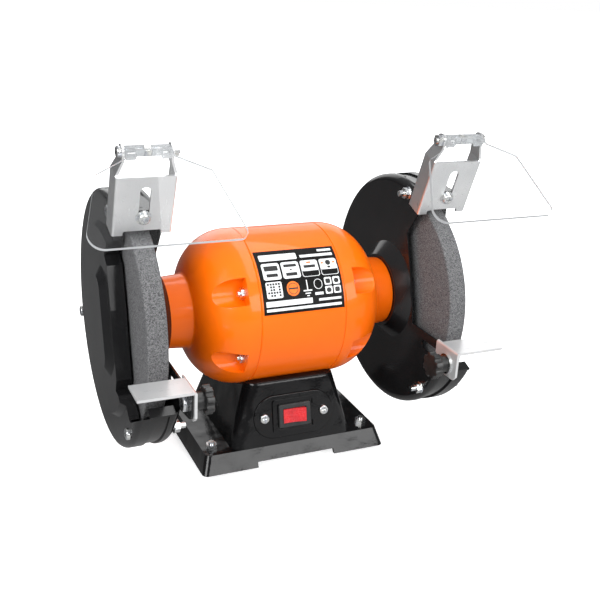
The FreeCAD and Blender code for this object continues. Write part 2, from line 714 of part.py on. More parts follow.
def stator_core():
    core = tube_x(SHELL_R - SHELL_T, ROTOR_R + RUN_GAP, -STATOR_HALF, STATOR_HALF)
    wide = slot_tool(SLOT_W, SLOT_IN_R, SLOT_OUT_R, STATOR_HALF + 1)
    mouths = slot_tool(SLOT_MOUTH, ROTOR_R - 2, SLOT_IN_R + 1, STATOR_HALF + 1)
    core = core.cut(wide[0].multiFuse(wide[1:] + mouths))
    for angle in TIE_ANGLES:
        y, z = polar(TIE_PITCH_R, angle)
        core = core.cut(cyl_x(TIE_R + 0.3, -30, 30, y, z))
    return core


def stator_windings():
    bars = slot_tool(SLOT_W - 0.4, SLOT_IN_R + 0.2, SLOT_OUT_R - 0.2, STATOR_HALF + 1)
    ends = []
    for side in (-1, 1):
        x0 = side * (STATOR_HALF + 0.5)
        x1 = side * (STATOR_HALF + 0.5 + END_TURN)
        mid_r = (END_TURN_IN_R + END_TURN_OUT_R) / 2
        turn_end = turned([(x0, END_TURN_IN_R), (x0, END_TURN_OUT_R), (x1 - side * 4, END_TURN_OUT_R),
                           (x1 - side * 4, END_TURN_IN_R, x1, mid_r)])
        ends.append(turn_end)
    return fused(ends + bars)


def rating_label():
    ring = tube_x(SHELL_R + LABEL_T, SHELL_R, -LABEL_HALF_X, LABEL_HALF_X)
    reach = 2 * SHELL_R
    wedge = [(0.0, AXIS_Z), polar(reach, LABEL_LOW), polar(reach, LABEL_HIGH)]
    return ring.common(prism_x(wedge, -SHELL_HALF, SHELL_HALF))


# ---- rotor ---------------------------------------------------------------
def shoulder_x(side):
    """The right bearing sits one wave washer further in than the left one."""
    inner = BEARING_OUT_X - BEARING_W
    return inner - WAVE_T if side > 0 else inner


def rotor_shaft():
    left = -shoulder_x(-1)
    right = shoulder_x(1)
    return turned([(-SHAFT_END_X, 0), (-SHAFT_END_X, SHAFT_END_R - 1), (1 - SHAFT_END_X, SHAFT_END_R),
                   (-FLANGE_SEAT_X, SHAFT_END_R), (-FLANGE_SEAT_X, SHAFT_R), (left, SHAFT_R), (left, SHAFT_CORE_R),
                   (right, SHAFT_CORE_R), (right, SHAFT_R), (FLANGE_SEAT_X, SHAFT_R), (FLANGE_SEAT_X, SHAFT_END_R),
                   (SHAFT_END_X - 1, SHAFT_END_R), (SHAFT_END_X, SHAFT_END_R - 1), (SHAFT_END_X, 0)])


def rotor_core():
    return tube_x(ROTOR_R, SHAFT_CORE_R, -STATOR_HALF, STATOR_HALF)


def rotor_end_rings():
    rings = []
    ring_r = END_TURN_IN_R - 3.0
    for side in (-1, 1):
        x0, x1 = sorted((side * STATOR_HALF, side * (STATOR_HALF + END_RING_T)))
        ring = tube_x(ring_r, END_RING_IN_R, x0, x1)
        fins = []
        for k in range(ROTOR_FINS):
            reach = ring_r - END_RING_IN_R - 2
            f0, f1 = sorted((side * (STATOR_HALF + END_RING_T - 0.5), side * (STATOR_HALF + END_RING_T + FIN_H)))
            fin = Part.makeBox(f1 - f0, 1.6, reach, Vec(f0, -0.8, END_RING_IN_R + 1))
            fin.rotate(Vec(0, 0, 0), Vec(1, 0, 0), 360.0 / ROTOR_FINS * k)
            fins.append(fin.translated(Vec(0, 0, AXIS_Z)))
        rings.append(fused([ring] + fins))
    return group(rings)


def bearing_span(side):
    inner = shoulder_x(side)
    return sorted((side * inner, side * (inner + BEARING_W)))


def bearing_outer_rings():
    return group([tube_x(BEARING_R, BEARING_R - RACE_T, *bearing_span(side)) for side in (-1, 1)])


def bearing_inner_rings():
    return group([tube_x(SHAFT_R + RACE_T, SHAFT_R, *bearing_span(side)) for side in (-1, 1)])


def bearing_balls():
    balls = []
    pitch = BEARING_R - RACE_T - BALL_R + 0.04
    for side in (-1, 1):
        middle = sum(bearing_span(side)) / 2
        for k in range(BALL_COUNT):
            y, z = polar(pitch, 360.0 / BALL_COUNT * k)
            balls.append(Part.makeSphere(BALL_R, Vec(middle, y, z)))
    return group(balls)


def wave_washer():
    return tube_x(BEARING_R - 0.1, BEARING_R - 3.0, BEARING_OUT_X - WAVE_T, BEARING_OUT_X)


def wheel_flange(x0, side):
    """Pressed clamping flange whose dished face looks towards the wheel."""
    x1 = x0 + side * FLANGE_T
    face = x1 - side * FLANGE_RELIEF
    return turned([(x0, SHAFT_END_R + BORE_FIT), (x0, FLANGE_R - 1.5), (x0 + side * 1.5, FLANGE_R), (x1, FLANGE_R),
                   (x1, FLANGE_RELIEF_R), (face, FLANGE_RELIEF_R), (face, SHAFT_END_R + BORE_FIT)])


def wheel_flanges():
    inner = wheel_flange(FLANGE_SEAT_X, 1)
    outer = wheel_flange(NUT_SEAT_X, -1)
    return group(both_sides(inner) + both_sides(outer))


def wheel_blotters():
    discs = []
    for x0 in (WHEEL_X - BLOTTER_T, WHEEL_OUT_X):
        discs += both_sides(tube_x(BLOTTER_R, SHAFT_END_R + BORE_FIT, x0, x0 + BLOTTER_T))
    return group(discs)


def grinding_wheel():
    edge = 0.6
    return turned([(WHEEL_X, SHAFT_END_R + BORE_FIT), (WHEEL_X, WHEEL_R - edge), (WHEEL_X + edge, WHEEL_R),
                   (WHEEL_OUT_X - edge, WHEEL_R), (WHEEL_OUT_X, WHEEL_R - edge),
                   (WHEEL_OUT_X, SHAFT_END_R + BORE_FIT)])


def arbor_nuts():
    nut = hexagon_x(ARBOR_NUT_FLATS, NUT_SEAT_X, NUT_SEAT_X + ARBOR_NUT_H)
    chamfer = turned([(NUT_SEAT_X, 0), (NUT_SEAT_X, 10.2), (NUT_SEAT_X + 1, 11.2),
                      (NUT_SEAT_X + ARBOR_NUT_H - 1, 11.2), (NUT_SEAT_X + ARBOR_NUT_H, 10.2),
                      (NUT_SEAT_X + ARBOR_NUT_H, 0)])
    nut = nut.common(chamfer).cut(cyl_x(SHAFT_END_R, NUT_SEAT_X - 1, NUT_SEAT_X + ARBOR_NUT_H + 1))
    return group(both_sides(nut))


# ---- guards --------------------------------------------------------------
def guard_mount_angles():
    return (90.0, 210.0, 330.0)


def around(points):
    """Close a front-edge outline round the back of the guard."""
    reach = GUARD_R + 20
    low = AXIS_Z - reach
    return points + [(points[-1][0], low), (reach, low), (reach, AXIS_Z + reach), (points[0][0], AXIS_Z + reach)]


def inner_guard_front():
    return [(-38.3, 182.6), (-31.6, 170.8), (-21.0, 155.7), (-28.2, 134.0), (-34.2, 116.2), (-39.9, 92.9),
            (-72.0, 92.9), (-72.0, 72.0), polar(GUARD_R + 1, -23.5)]


def inner_guard():
    x0 = GUARD_IN_X
    x1 = GUARD_IN_X + SHEET_T
    rim = x0 + INNER_RIM
    big = INNER_RIM_BEND
    small = INNER_RIM_BEND - SHEET_T
    out_mid = bend(x0, GUARD_R, big, 1)
    in_mid = bend(x1, GUARD_R - SHEET_T, small, 1)
    dish = turned([(COLLAR_X1, GUARD_HOLE_R), (COLLAR_X1, BOSS_TOP_R), (x0, BOSS_FOOT_R), (x0, GUARD_R - big),
                   (x0 + big, GUARD_R, out_mid[0], out_mid[1]), (rim, GUARD_R), (rim, GUARD_R - SHEET_T),
                   (x1 + small, GUARD_R - SHEET_T), (x1, GUARD_R - SHEET_T - small, in_mid[0], in_mid[1]),
                   (x1, BOSS_FOOT_R - 0.4), (COLLAR_X1 + SHEET_T, BOSS_TOP_R - 0.4),
                   (COLLAR_X1 + SHEET_T, GUARD_HOLE_R)])
    guard = dish.common(prism_x(around(inner_guard_front()), COLLAR_X1 - 1, GUARD_OUT_X))
    end = polar(GUARD_R, -23.5)
    lug = [(-60.0, 92.9), (LUG_FRONT_Y, 92.9), (LUG_FRONT_Y, 80.0), (LUG_FRONT_Y + 1.4, 76.6),
           (LUG_FRONT_Y + 5.0, 75.0), (end[0] + 4.0, end[1] + 1.0), (-70.0, 71.0), (-60.0, 80.0)]
    guard = guard.fuse(prism_x(lug, x0, x1))
    half = REST_BOLT_R + REST_SLOT_PLAY
    slot = box(x0 - 2, x1 + 2, REST_SLOT_FRONT_Y + half, REST_SLOT_BACK_Y - half, REST_BOLT_Z - half,
               REST_BOLT_Z + half)
    slot = slot.fuse(cyl_x(half, x0 - 2, x1 + 2, REST_SLOT_FRONT_Y + half, REST_BOLT_Z))
    slot = slot.fuse(cyl_x(half, x0 - 2, x1 + 2, REST_SLOT_BACK_Y - half, REST_BOLT_Z))
    guard = guard.cut(slot)
    for angle in GUARD_SCREW_ANGLES:
        y, z = polar(GUARD_SCREW_PITCH_R, angle)
        guard = guard.cut(cyl_x(GUARD_SCREW_R + BORE_FIT, x0 - 5, x1 + 5, y, z))
    for angle in guard_mount_angles():
        y, z = polar(GUARD_MOUNT_PITCH_R, angle)
        guard = guard.cut(cyl_x(GUARD_MOUNT_R + BORE_FIT, COLLAR_X1 - 5, COLLAR_X1 + 5, y, z))
    return guard.cut(band_way_out()).removeSplitter()


def cover_front():
    return [(-24.5, 189.0), (-24.5, 166.5), (-15.0, 155.0), (-22.0, 150.0), (-30.3, 123.0), (-36.0, 101.0),
            (-42.0, 80.0), (-39.5, 72.0), (-46.0, 71.4), (-60.5, 60.8), (-64.0, 60.8), polar(GUARD_R + 1, -24.0)]


def shifted_back(points, size):
    """Same front edge, moved back along Y by the thickness of its lip."""
    return [(y + size, z) for y, z in points]


def crown(face_x, inset, height):
    """Rounded triangle whose corners look towards the three cover screws."""
    shapes = []
    for lift, grow in ((0.0, CROWN_SLOPE), (height, 0.0)):
        inscribed = CROWN_R + grow - inset
        corner = CROWN_CORNER_R + grow - inset
        edges = []
        ends = []
        for angle in GUARD_SCREW_ANGLES:
            y, z = polar(2 * (inscribed - corner), angle)
            turn = math.radians(angle)
            centre = Vec(face_x + lift, y, z)
            points = []
            for step in (60.0, 0.0, -60.0):
                a = turn + math.radians(step)
                points.append(centre + Vec(0, -corner * math.cos(a), corner * math.sin(a)))
            ends.append(points)
        for k in range(3):
            now = ends[k]
            after = ends[(k + 1) % 3]
            edges.append(Part.Arc(now[0], now[1], now[2]).toShape())
            edges.append(Part.makeLine(now[2], after[0]))
        shapes.append(Part.Wire(edges))
    return Part.makeLoft(shapes, True, True)


def cover_blank(inset):
    """Solid dish of the cover: inset 0 is its outside, one sheet its inside."""
    face = GUARD_OUT_X - inset
    rim_r = GUARD_R - inset
    rim_x = GUARD_OUT_X - COVER_RIM - (0 if inset == 0 else 5)
    round_r = COVER_RIM_BEND - inset
    mid = bend(face, rim_r, round_r, -1)
    plateau = face + PLATEAU_H
    blank = turned([(rim_x, 0), (rim_x, rim_r), (face - round_r, rim_r), (face, rim_r - round_r, mid[0], mid[1]),
                    (face, PLATEAU_R - inset / 2), (plateau, PLATEAU_R - PLATEAU_SLOPE - inset / 2), (plateau, 0)])
    return blank.fuse(crown(plateau - 0.01, inset / 2, CROWN_H))


def outer_cover():
    front = cover_front()
    far = GUARD_OUT_X + PLATEAU_H + CROWN_H + 5
    outside = cover_blank(0.0).common(prism_x(around(front), WHEEL_X, far))
    inside = cover_blank(SHEET_T).common(prism_x(around(shifted_back(front, SHEET_T)), WHEEL_X - 5, far))
    cover = outside.cut(inside)
    lip_x = GUARD_OUT_X - COVER_RETURN
    cover = cover.cut(cyl_x(GUARD_R - SHEET_T - 0.5, WHEEL_X - 5, lip_x))
    for angle in GUARD_SCREW_ANGLES:
        y, z = polar(GUARD_SCREW_PITCH_R, angle)
        cover = cover.cut(cyl_x(GUARD_SCREW_R + BORE_FIT, GUARD_OUT_X - 5, GUARD_OUT_X + 5, y, z))
    return cover.cut(band_way_out()).removeSplitter()


def bracket_frame():
    lean = math.radians(BRACKET_LEAN)
    up = Vec(0, -math.sin(lean), math.cos(lean))
    normal = Vec(0, -math.cos(lean), -math.sin(lean))
    return frame_at(Vec(BRACKET_MID, BRACKET_Y, BRACKET_Z), up, normal)


def band_span():
    return GUARD_IN_X + INNER_RIM_BEND + BAND_SIDE_GAP, GUARD_OUT_X - COVER_RETURN - BAND_SIDE_GAP


def band_way_out():
    """Space over the guards' rims where the band runs forward to its tab."""
    x0, x1 = band_span()
    low = AXIS_Z + GUARD_R - 2 * SHEET_T
    return box(x0 - BAND_SIDE_GAP, x1 + BAND_SIDE_GAP, -GUARD_R, -0.5, low, low + 20)


def guard_band():
    """Strip bent round the back of the wheel, with a flat tab at its top end
    for the shield bracket and a short lip at its bottom end."""
    outer = GUARD_R - SHEET_T
    inner = outer - SHEET_T
    x0, x1 = band_span()
    frame = bracket_frame()
    front = -BRACKET_T - TAB_GAP
    top_z = AXIS_Z + outer

    def on_tab(depth, z):
        """Point of the tab's front or back face at height z."""
        foot = frame.multVec(Vec(0, 0, depth))
        along = (z - foot.z) / math.cos(math.radians(BRACKET_LEAN))
        there = frame.multVec(Vec(0, along, depth))
        return there.y, there.z

    def low_tab(depth):
        there = frame.multVec(Vec(0, TAB_LOW, depth))
        return there.y, there.z

    lip_r = GUARD_R + BAND_LIP
    lip_turn = math.degrees(SHEET_T / GUARD_R)
    start = polar(outer, BAND_END_ANGLE)
    corners = [(0.0, top_z), on_tab(front, top_z), low_tab(front), low_tab(front - SHEET_T),
               on_tab(front - SHEET_T, top_z - SHEET_T), (0.0, top_z - SHEET_T)]
    finish = polar(inner, BAND_END_ANGLE + lip_turn)
    lip = [finish, polar(lip_r, BAND_END_ANGLE + lip_turn), polar(lip_r, BAND_END_ANGLE), start]

    def vec(point):
        return Vec(x0, point[0], point[1])

    half_turn = (BAND_END_ANGLE - 270) / 2
    edges = [Part.Arc(vec(start), vec(polar(outer, half_turn)), vec(corners[0])).toShape()]
    for k in range(5):
        edges.append(Part.makeLine(vec(corners[k]), vec(corners[k + 1])))
    edges.append(Part.Arc(vec(corners[5]), vec(polar(inner, half_turn)), vec(finish)).toShape())
    for k in range(3):
        edges.append(Part.makeLine(vec(lip[k]), vec(lip[k + 1])))
    band = Part.Face(Part.Wire(edges)).extrude(Vec(x1 - x0, 0, 0))
    hole = Part.makeCylinder(CLAMP_SCREW_R, 9, Vec(0, clamp_up(), -8))
    return band.cut(placed(hole, frame))


def clamp_up():
    return BRACKET_SLOT_LOW + BRACKET_SLOT_W / 2 + 0.3


def cover_screws():
    screws = []
    length = GUARD_OUT_X - GUARD_IN_X + 8.0
    for angle in GUARD_SCREW_ANGLES:
        y, z = polar(GUARD_SCREW_PITCH_R, angle)
        screw = pan_head_screw(Vec(GUARD_OUT_X, y, z), Vec(-1, 0, 0), GUARD_SCREW_R, length, 3.8, 2.4)
        screws += both_sides(screw)
    return group(screws)


def cover_nuts():
    nuts = []
    for angle in GUARD_SCREW_ANGLES:
        y, z = polar(GUARD_SCREW_PITCH_R, angle)
        nut = hexagon_x(7.0, GUARD_IN_X - 4.0, GUARD_IN_X - 0.8, y, z)
        nut = nut.fuse(cyl_x(4.4, GUARD_IN_X - 0.8, GUARD_IN_X, y, z))
        nut = nut.cut(cyl_x(GUARD_SCREW_R, GUARD_IN_X - 9, GUARD_IN_X + 1, y, z))
        nuts += both_sides(nut)
    return group(nuts)


def guard_mount_screws():
    screws = []
    for angle in guard_mount_angles():
        y, z = polar(GUARD_MOUNT_PITCH_R, angle)
        point = Vec(COLLAR_X1 + SHEET_T, y, z)
        screws += both_sides(pan_head_screw(point, Vec(-1, 0, 0), GUARD_MOUNT_R, 11.0, 3.4, 2.2))
    return group(screws)


def clamp_screws():
    """Screw and washer that clamp the shield bracket to the band's tab."""
    washer = Part.makeCylinder(CLAMP_HEAD_R + 1.1, 0.8)
    length = 0.9 + BRACKET_T + TAB_GAP + SHEET_T
    screw = pan_head_screw(Vec(0, 0, 0.8), Vec(0, 0, -1), CLAMP_SCREW_R, length, CLAMP_HEAD_R, 2.6)
    both = fused([washer, screw]).translated(Vec(0, clamp_up(), 0.1))
    return group(both_sides(placed(both, bracket_frame())))


# ---- shield bracket ------------------------------------------------------
def shield_bracket():
    """U-shaped channel with a slotted front, and an ear on each side for the hinge."""
    half = (BRACKET_X1 - BRACKET_X0) / 2
    block = local_box(-half, half, 0, BRACKET_H, -BRACKET_DEPTH, 0)
    bends = [edge for edge in block.Edges
             if abs(edge.CenterOfMass.z) < 0.01 and abs(abs(edge.CenterOfMass.x) - half) < 0.01]
    block = block.makeFillet(BRACKET_T, bends)
    inner = half - BRACKET_T
    channel = block.cut(local_box(-inner, inner, -1, BRACKET_H + 1, -BRACKET_DEPTH - 1, -BRACKET_T))
    leg = half - BRACKET_LEG
    notch = local_box(-leg, leg, -2, BRACKET_NOTCH, -BRACKET_T - 1, 1)
    upright = [edge for edge in notch.Edges if abs(edge.CenterOfMass.y - BRACKET_NOTCH) < 0.01
               and abs(abs(edge.CenterOfMass.x) - leg) < 0.01]
    channel = channel.cut(notch.makeFillet(1.2, upright))
    width = BRACKET_SLOT_W
    low = BRACKET_SLOT_LOW + width / 2
    high = BRACKET_SLOT_TOP - width / 2
    slot = local_box(-width / 2, width / 2, low, high, -3, 3)
    for y in (low, high):
        slot = slot.fuse(Part.makeCylinder(width / 2, 6, Vec(0, y, -3)))
    channel = channel.cut(slot)
    return placed(fused([channel, bracket_ear(half, 1), bracket_ear(half, -1)]), bracket_frame())


def bracket_ear(half, side):
    """Side wall carried on above the front, bent in to stand beside a knuckle."""
    low = BRACKET_H - 5
    bend = HINGE_UP - EAR_R
    inner = EAR_OUT_X - BRACKET_T
    section = [(half, low), (half, BRACKET_H + 0.4), (EAR_OUT_X, bend), (EAR_OUT_X, HINGE_UP + 6),
               (inner, HINGE_UP + 6), (inner, bend - 0.4), (half - BRACKET_T, BRACKET_H), (half - BRACKET_T, low)]
    points = [Vec(side * x, y, -BRACKET_DEPTH) for x, y in section]
    strip = Part.Face(Part.makePolygon(points + points[:1])).extrude(Vec(0, 0, BRACKET_DEPTH))
    corners = [Vec(0, low, -BRACKET_T), Vec(0, BRACKET_H, -BRACKET_T),
               Vec(0, HINGE_UP - 0.4, EAR_R - HINGE_BACK - 0.02), Vec(0, HINGE_UP - 0.4, 0.02 - EAR_R - HINGE_BACK),
               Vec(0, BRACKET_H, -BRACKET_DEPTH), Vec(0, low, -BRACKET_DEPTH)]
    reach = Vec(side * (half + 1), 0, 0)
    web = Part.Face(Part.makePolygon(corners + corners[:1])).extrude(reach)
    eye = Part.makeCylinder(EAR_R, half + 1, Vec(0, HINGE_UP, -HINGE_BACK), reach)
    hole = Part.makeCylinder(HINGE_R + BORE_FIT, half + 1, Vec(0, HINGE_UP, -HINGE_BACK), reach)
    return strip.common(web.fuse(eye)).cut(hole)


def hinge_bolt():
    place = Vec(0, HINGE_UP, -HINGE_BACK)
    bolt = pan_head_screw(Vec(EAR_OUT_X, 0, 0), Vec(-1, 0, 0), HINGE_R, 2 * EAR_OUT_X + 4.2, 3.6, 2.6)
    return placed(bolt.translated(place), bracket_frame())


def hinge_nuts():
    nuts = []
    for x0, x1 in ((-EAR_OUT_X - 3.2, -EAR_OUT_X), (-1.9, 1.9)):
        nut = hexagon_x(7.0, x0, x1, HINGE_UP, -HINGE_BACK)
        nuts.append(nut.cut(cyl_x(HINGE_R, x0 - 1, x1 + 1, HINGE_UP, -HINGE_BACK)))
    return placed(group(nuts), bracket_frame())


# ---- eye shield ----------------------------------------------------------
def hinge_point():
    return bracket_frame().multVec(Vec(0, HINGE_UP, -HINGE_BACK))


def shield_frame():
    """Origin on the hinge axis, Y up along the sheet, Z out of its front."""
    tilt = math.radians(SHIELD_TILT)
    up = Vec(0, math.sin(tilt), math.cos(tilt))
    normal = Vec(0, -math.cos(tilt), math.sin(tilt))
    return frame_at(hinge_point(), up, normal)


def eye_shield():
    corners = [(-SHIELD_NECK_HALF, -SHIELD_TOP, 1.5), (-SHIELD_NECK_HALF, -SHIELD_NECK, 2.0),
               (-SHIELD_SHOULDER_HALF, -SHIELD_SHOULDER, 2.5),
               (-SHIELD_FOOT_HALF, -SHIELD_LEN, SHIELD_BIG_R), (SHIELD_FOOT_HALF, -SHIELD_LEN, SHIELD_SMALL_R),
               (SHIELD_SHOULDER_HALF, -SHIELD_SHOULDER, 2.5), (SHIELD_NECK_HALF, -SHIELD_NECK, 2.0),
               (SHIELD_NECK_HALF, -SHIELD_TOP, 1.5)]
    points = [Vec(x, y, SHIELD_OFFSET) for x, y, _ in corners]
    sheet = Part.Face(Part.makePolygon(points + points[:1])).extrude(Vec(0, 0, SHIELD_T))
    for x, y, radius in corners:
        upright = [edge for edge in sheet.Edges if edge.Length < SHIELD_T + 0.01
                   and abs(edge.CenterOfMass.x - x) < 0.05 and abs(edge.CenterOfMass.y - y) < 0.05]
        sheet = sheet.makeFillet(radius, upright)
    shapes = [sheet]
    for side in (-1, 1):
        x0, x1 = sorted((side * KNUCKLE_IN, side * KNUCKLE_OUT))
        shapes.append(cyl_x(KNUCKLE_R, x0, x1, 0, 0))
        tab_x0, tab_x1 = sorted((side * KNUCKLE_OUT, side * (KNUCKLE_OUT - KNUCKLE_TAB)))
        shapes.append(local_box(tab_x0, tab_x1, -6.2, -1.2, 0, SHIELD_OFFSET + 0.5))
    shield = fused(shapes)
    shield = shield.cut(cyl_x(HINGE_R + 0.08, -30, 30, 0, 0))
    return placed(shield, shield_frame())


# ---- tool rest -----------------------------------------------------------
def tool_rest():
    top = box(REST_X0, REST_X1, REST_FRONT_Y, REST_BACK_Y, REST_TOP_Z - REST_T, REST_TOP_Z)
    outline = [(REST_FRONT_Y, REST_TOP_Z), (REST_FLANGE_BACK_Y, REST_TOP_Z), (REST_FLANGE_BACK_Y, 84.5),
               (-88.0, REST_FLANGE_LOW_Z), (REST_FRONT_Y + 3.0, REST_FLANGE_LOW_Z),
               (REST_FRONT_Y, REST_FLANGE_LOW_Z + 3.0)]
    flange = prism_x(outline, REST_X0, REST_X0 + REST_T)
    rest = fused([top, flange])
    fold = [edge for edge in rest.Edges if abs(edge.CenterOfMass.x - REST_X0) < 0.01
            and abs(edge.CenterOfMass.z - REST_TOP_Z) < 0.01]
    rest = rest.makeFillet(1.6, fold)
    return rest.cut(cyl_x(REST_BOLT_R + BORE_FIT, REST_X0 - 2, REST_X0 + 5, REST_BOLT_Y, REST_BOLT_Z))


def rest_bolt():
    head_x = GUARD_IN_X + SHEET_T + 0.1
    head = cyl_x(REST_HEAD_R, head_x, head_x + REST_HEAD_H, REST_BOLT_Y, REST_BOLT_Z)
    top = [edge for edge in head.Edges if abs(edge.CenterOfMass.x - head_x - REST_HEAD_H) < 0.01]
    head = head.makeFillet(1.3, top)
    end_x = REST_X0 - WASHER_T - KNOB_HUB - KNOB_T + KNOB_CROWN + 0.4
    shank = cyl_x(REST_BOLT_R, end_x, head_x, REST_BOLT_Y, REST_BOLT_Z)
    washer = cyl_x(WASHER_R, REST_X0 - WASHER_T, REST_X0, REST_BOLT_Y, REST_BOLT_Z)
    return fused([head, shank, washer])


def rest_knob():
    hub_x = REST_X0 - WASHER_T - 0.1
    star_x = hub_x - KNOB_HUB
    star = cyl_x(KNOB_R, star_x - KNOB_T, star_x, REST_BOLT_Y, REST_BOLT_Z)
    for k in range(KNOB_FLUTES):
        turn = 2 * math.pi * k / KNOB_FLUTES
        y = REST_BOLT_Y + (KNOB_R + 0.7) * math.cos(turn)
        z = REST_BOLT_Z + (KNOB_R + 0.7) * math.sin(turn)
        star = star.cut(cyl_x(KNOB_FLUTE_R, star_x - KNOB_T - 1, star_x + 1, y, z))
    faces = [edge for edge in star.Edges if abs(edge.BoundBox.XLength) < 0.001]
    star = star.makeFillet(0.7, faces)
    hub = cyl_x(KNOB_HUB_R, star_x - 1, hub_x, REST_BOLT_Y, REST_BOLT_Z)
    knob = fused([star, hub])
    blind_x = star_x - KNOB_T + KNOB_CROWN
    return knob.cut(cyl_x(REST_BOLT_R + BORE_FIT, blind_x, hub_x + 1, REST_BOLT_Y, REST_BOLT_Z))


# ---- write every piece ---------------------------------------------------
def save(name, shape):
    shape.exportStep("parts/" + name + ".step")


def save_pair(name, shape):
    save(name + "_right", shape)
    save(name + "_left", mirrored(shape))


def save_same_pair(name, shape):
    """The same moulding on both sides, moved across instead of mirrored."""
    save(name + "_right", shape)
    save(name + "_left", shape.translated(Vec(-2 * BRACKET_MID, 0, 0)))


os.makedirs("parts", exist_ok=True)

housing = base_housing()
save("base_housing", fused([housing] + [post.common(base_blank(0.5, 0.5)[1]) for post in floor_posts()]))
save("base_bottom_plate", base_bottom_plate())
save("rubber_feet", rubber_feet())
save("foot_screws", foot_screws())
save("foot_nuts", foot_nuts())
save("bottom_plate_screws", floor_screws())
save("cable_gland", cable_gland())
save("capacitor", capacitor())
save("capacitor_clamp", capacitor_clamp())
save("terminal_block", terminal_block())
save("switch_plate", switch_plate())
save("switch_plate_screws", switch_plate_screws())
save("switch_housing", switch_housing())
save("switch_terminals", switch_terminals())
save("switch_rocker", switch_rocker())
save("motor_shell", motor_shell())
save("motor_screws", motor_screws())
save_pair("end_bell", end_bell())
save("tie_bolts", tie_bolts())
save("tie_bolt_nuts", tie_nuts())
save("stator_core", stator_core())
save("stator_windings", stator_windings())
save("rating_label", rating_label())
save("rotor_shaft", rotor_shaft())
save("rotor_core", rotor_core())
save("rotor_end_rings", rotor_end_rings())
save("bearing_outer_rings", bearing_outer_rings())
save("bearing_inner_rings", bearing_inner_rings())
save("bearing_balls", bearing_balls())
save("wave_washer", wave_washer())
save("wheel_flanges", wheel_flanges())
save("wheel_blotters", wheel_blotters())
save_pair("grinding_wheel", grinding_wheel())
save("arbor_nuts", arbor_nuts())
save_pair("inner_guard", inner_guard())
save_pair("guard_band", guard_band())
save_pair("outer_cover", outer_cover())
save("cover_screws", cover_screws())
save("cover_nuts", cover_nuts())
save("guard_mount_screws", guard_mount_screws())
save("bracket_clamp_screws", clamp_screws())
save_pair("shield_bracket", shield_bracket())
save_pair("hinge_bolt", hinge_bolt())
save_pair("hinge_nuts", hinge_nuts())
save_same_pair("eye_shield", eye_shield())
save_pair("tool_rest", tool_rest())
save_pair("rest_bolt", rest_bolt())
save_pair("rest_knob", rest_knob())
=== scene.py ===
import json
import math

import bmesh
import bpy
from mathutils import Matrix, Vector


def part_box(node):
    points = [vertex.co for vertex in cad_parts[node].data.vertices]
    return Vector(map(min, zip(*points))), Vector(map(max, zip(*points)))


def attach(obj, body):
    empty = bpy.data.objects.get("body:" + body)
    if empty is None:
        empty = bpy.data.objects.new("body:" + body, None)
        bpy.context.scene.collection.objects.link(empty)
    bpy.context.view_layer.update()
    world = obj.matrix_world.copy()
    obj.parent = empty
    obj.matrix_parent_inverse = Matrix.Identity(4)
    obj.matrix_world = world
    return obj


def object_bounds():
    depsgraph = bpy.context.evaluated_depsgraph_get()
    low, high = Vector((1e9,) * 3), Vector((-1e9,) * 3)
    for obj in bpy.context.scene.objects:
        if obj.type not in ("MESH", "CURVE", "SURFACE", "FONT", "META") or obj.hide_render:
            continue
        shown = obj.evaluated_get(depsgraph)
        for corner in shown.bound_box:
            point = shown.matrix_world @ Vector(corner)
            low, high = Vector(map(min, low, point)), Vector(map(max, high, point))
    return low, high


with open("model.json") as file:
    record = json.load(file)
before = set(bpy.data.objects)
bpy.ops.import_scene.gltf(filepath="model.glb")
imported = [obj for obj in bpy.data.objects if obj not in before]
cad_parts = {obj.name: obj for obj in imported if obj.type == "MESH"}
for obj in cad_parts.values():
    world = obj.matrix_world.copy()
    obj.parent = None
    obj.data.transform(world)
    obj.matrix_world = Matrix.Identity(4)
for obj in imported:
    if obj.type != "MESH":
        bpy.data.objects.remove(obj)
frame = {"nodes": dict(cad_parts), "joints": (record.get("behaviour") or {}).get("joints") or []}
cad_low, cad_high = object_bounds()


# Base housing. One hollow moulding in gloss black carries the motor on its saddle, and its
# front wall takes the switch plate. The gloss is uneven, so light breaks up along its edges.
def start_finish(name, **own):
    """A material and its shader. Values in own go on the shader's own sockets."""
    finish = bpy.data.materials.new(name)
    finish.use_nodes = True
    shader = finish.node_tree.nodes["Principled BSDF"]
    for socket, value in own.items():
        shader.inputs[socket.replace("_", " ")].default_value = value
    return finish, shader


def add_node(tree, kind, inputs=None, **settings):
    """A node whose inputs are either plain values or the outputs of other nodes."""
    node = tree.nodes.new(kind)
    for setting, value in settings.items():
        setattr(node, setting, value)
    for socket, value in (inputs or {}).items():
        if isinstance(value, bpy.types.NodeSocket):
            tree.links.new(value, node.inputs[socket])
        else:
            node.inputs[socket].default_value = value
    return node


def feed(finish, shader, **sources):
    for socket, output in sources.items():
        finish.node_tree.links.new(output, shader.inputs[socket.replace("_", " ")])


def object_place(tree, centre=(0, 0, 0), stretch=(1, 1, 1)):
    """Object coordinates measured from centre, stretched along each axis."""
    place = add_node(tree, "ShaderNodeTexCoord").outputs["Object"]
    away = add_node(tree, "ShaderNodeVectorMath", {0: place, 1: centre}, operation="SUBTRACT")
    drawn = add_node(tree, "ShaderNodeVectorMath", {0: away.outputs[0], 1: stretch}, operation="MULTIPLY")
    return drawn.outputs[0]


def use_finish(finish, *node_names):
    for name in node_names:
        for slot in frame["nodes"][name].material_slots:
            slot.material = finish


